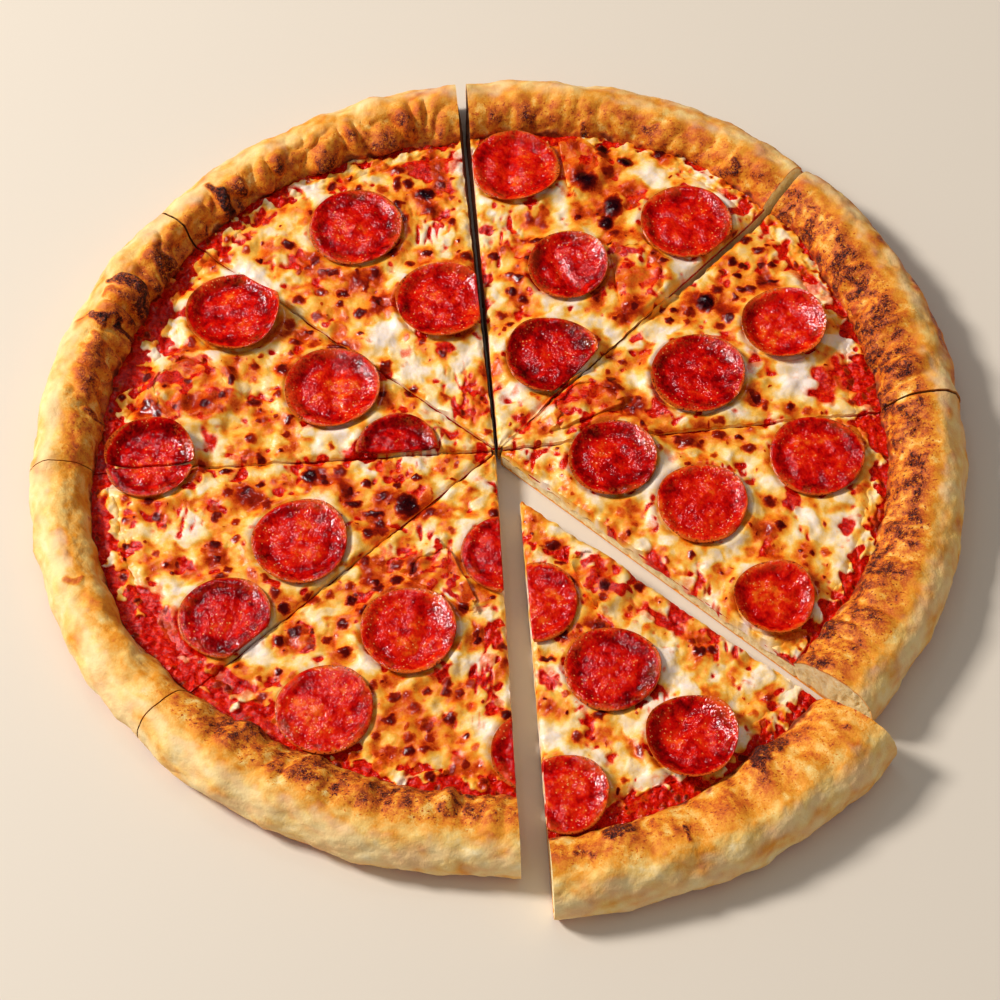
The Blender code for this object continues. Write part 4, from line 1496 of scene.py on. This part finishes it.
def pepperoni_finish():
    """Greasy red sausage: grainy, with pale fat, roasted speckles, a browner edge and painted shade in its
    cup.
    """
    made = Finish("pepperoni")
    fine, middle, wide = made.noise(0.8), made.noise(2.2), made.noise(8.0, 2.0)
    far = made.add(made.mask("far"), made.around(middle, 0.06))
    # Darker ring in the hollow of the cup: painted shade, along with darker pooled grease
    moat_shade = made.two("SUBTRACT", made.band(far, 0.42, 0.72), made.band(far, 0.84, 0.93))
    tone = made.add(made.around(middle, 0.8), made.sum(wide, 0.9, 0.11))
    tone = made.add(made.add(tone, made.sum(moat_shade, -0.15)), made.mask("shade"))
    colour = made.ramp(tone, PEPPERONI_COLOURS)
    fat = made.times(made.band(made.cells(1.6), 0.26, 0.12), made.band(wide, 0.48, 0.62))
    colour = made.paint(colour, fat, FAT_GRAIN)
    speckled = made.add(made.noise(11.0, 2.0), made.around(fine, 0.7))
    roast = made.times(made.band(far, 0.66, 0.95), made.band(speckled, 0.50, 0.62))
    colour = made.paint(colour, roast, ROASTED, 0.3)
    rim = made.band(made.add(far, made.around(wide, 0.12)), 0.92, 0.97)
    colour = made.paint(colour, rim, DISC_EDGE, 0.8)
    crisp = made.times(made.band(far, 0.9, 0.98), made.band(fine, 0.54, 0.64))
    made.colour(made.paint(colour, crisp, CRISP_EDGE))
    made.set(roughness=0.15, specular_ior_level=0.27)
    grains = made.add(made.sum(made.cells(1.2), -0.7, 0.7), made.sum(fine, 0.5))
    made.bump(grains, 0.21)
    return made.material


def crust_finish():
    """Baked dough: floury outside, golden on top, toasted to black in places, pale crumb at cuts, painted
    shade in narrow gaps.
    """
    made = Finish("baked_crust")
    fine, middle, wide = made.noise(0.8, 4.0), made.noise(2.4, 4.0), made.noise(7.0)
    ripple = made.add(made.around(fine, 0.5), made.around(middle, 0.5))
    toast = made.mask("toast")
    burned = made.band(toast, 0.46, 0.62)
    grit = made.add(made.around(made.noise(0.5), 1.0), made.around(made.noise(1.6), 1.0))
    toast = made.add(toast, made.times(burned, made.sum(grit, 1.1, 0.04)))
    toast = made.add(toast, made.times(ripple, made.sum(made.mask("rough"), 0.42, 0.3)))
    flecks = made.band(made.noise(1.1, 2.0), 0.58, 0.70)
    toast = made.add(toast, made.times(flecks, made.sum(made.mask("rough"), 0.32)))
    colour = made.ramp(toast, CRUST_COLOURS)
    stain = made.add(made.mask("stain"), made.around(middle, 0.8))
    colour = made.paint(colour, made.band(stain, 0.2, 0.7), OIL_STAIN, 0.7)
    # Darkest right at the rim's foot: burnt bits and painted shade where the rim meets the sauce
    colour = made.paint(colour, made.band(stain, 0.6, 1.1), DARK_STAIN_AND_SHADE, 0.9)
    flour = made.add(made.mask("flour"), made.around(wide, 0.5))
    flour = made.add(flour, made.around(middle, 0.4))
    colour = made.paint(colour, made.band(flour, 0.05, 1.2), FLOUR_DUST, 0.6)
    crumb = made.ramp(made.add(made.sum(middle, 0.6), made.sum(fine, 0.4)), CRUMB_COLOURS)
    # Painted shade on the crumb of cut faces in narrow gaps
    crumb = made.paint(crumb, made.mask("soaked"), PAINTED_SHADE_CRUMB, 0.9)
    made.colour(made.mix(made.band(made.mask("crumb"), 0.2, 0.7), colour, crumb))
    made.set(roughness=made.sum(burned, -0.3, 0.62), specular_ior_level=0.25)
    relief = made.add(made.sum(ripple, 0.8), made.times(burned, made.sum(grit, 1.4)))
    made.bump(relief, 0.55)
    return made.material


def add_floor():
    """Plain pale floor."""
    bpy.ops.mesh.primitive_plane_add(size=FLOOR_SIZE, location=(0.0, 0.0, -FLOOR_DROP))
    floor = bpy.context.active_object
    floor.name = "floor"
    made = Finish("floor", 0.6)
    made.colour(srgb(*FLOOR_COLOUR))
    floor.data.materials.append(made.material)


def add_camera():
    """Camera at the photograph's viewing angle."""
    elevation = math.radians(CAMERA_ELEVATION)
    data = bpy.data.cameras.new("camera")
    data.sensor_width = SENSOR
    data.lens = CAMERA_FOCAL_PIXELS / PHOTO_PIXELS * SENSOR
    data.clip_end = CAMERA_REACH
    camera = bpy.data.objects.new("camera", data)
    target = Vector((CAMERA_TARGET[0] - CENTRE[0], CAMERA_TARGET[1] - CENTRE[1], 0.0)) * MM
    back = Vector((0.0, -math.cos(elevation), math.sin(elevation)))
    camera.location = target + back * CAMERA_DISTANCE * MM
    camera.rotation_euler = (math.radians(90.0 - CAMERA_ELEVATION), 0.0, 0.0)
    bpy.context.scene.collection.objects.link(camera)
    bpy.context.scene.camera = camera


def add_light(name, place, size, power, colour):
    """Soft square lamp that faces the pizza."""
    data = bpy.data.lights.new(name, "AREA")
    data.size = size
    data.energy = power
    data.color = colour
    lamp = bpy.data.objects.new(name, data)
    lamp.location = place
    lamp.rotation_euler = (-Vector(place)).to_track_quat("-Z", "Y").to_euler()
    bpy.context.scene.collection.objects.link(lamp)
    return lamp


def light_scene():
    """Key light from the left, a small one from behind for glints alone, and a pale surround."""
    add_light("key", *KEY_LAMP)
    glints = add_light("glints", *GLINT_LAMP)
    glints.visible_diffuse = False
    world = bpy.data.worlds.new("surround")
    world.use_nodes = True
    background = world.node_tree.nodes["Background"]
    background.inputs["Color"].default_value = SURROUND_COLOUR
    background.inputs["Strength"].default_value = SURROUND_STRENGTH
    world.cycles_visibility.glossy = False
    bpy.context.scene.world = world
    bpy.context.scene.view_settings.view_transform = "Standard"
    bpy.context.scene.view_settings.look = "None"


def build():
    """Dress every solid of the frame."""
    cheese = cheese_finish("melted_cheese", CHEESE_SHINE)
    pepperoni = pepperoni_finish()
    finishes = {"crust": crust_finish(), "sauce": cheese_finish("sauce", SAUCE_SHINE), "cheese": cheese}
    layers = {"crust": crust_slice, "sauce": sauce_slice, "cheese": cheese_slice}
    for number in range(1, len(SLICES) + 1):
        for layer, shape in layers.items():
            name = f"{layer}_{number}"
            made = shape(number).make("baked_" + name, number, finishes[layer], length_of(number))
            dress(made, name)
    for disc in PEPPERONI:
        name = "pepperoni_" + disc.name
        finish = cheese if disc.name in UNDER_CHEESE else pepperoni
        dress(pepperoni_shell(disc).make("baked_" + name, disc.number, finish), name)


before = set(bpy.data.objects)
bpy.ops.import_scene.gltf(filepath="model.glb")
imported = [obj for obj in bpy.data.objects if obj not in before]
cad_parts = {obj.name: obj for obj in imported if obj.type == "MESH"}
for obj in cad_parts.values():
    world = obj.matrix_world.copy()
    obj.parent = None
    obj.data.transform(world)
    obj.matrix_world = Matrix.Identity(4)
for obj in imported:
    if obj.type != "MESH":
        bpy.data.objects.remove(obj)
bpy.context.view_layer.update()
build()
add_floor()
add_camera()
light_scene()
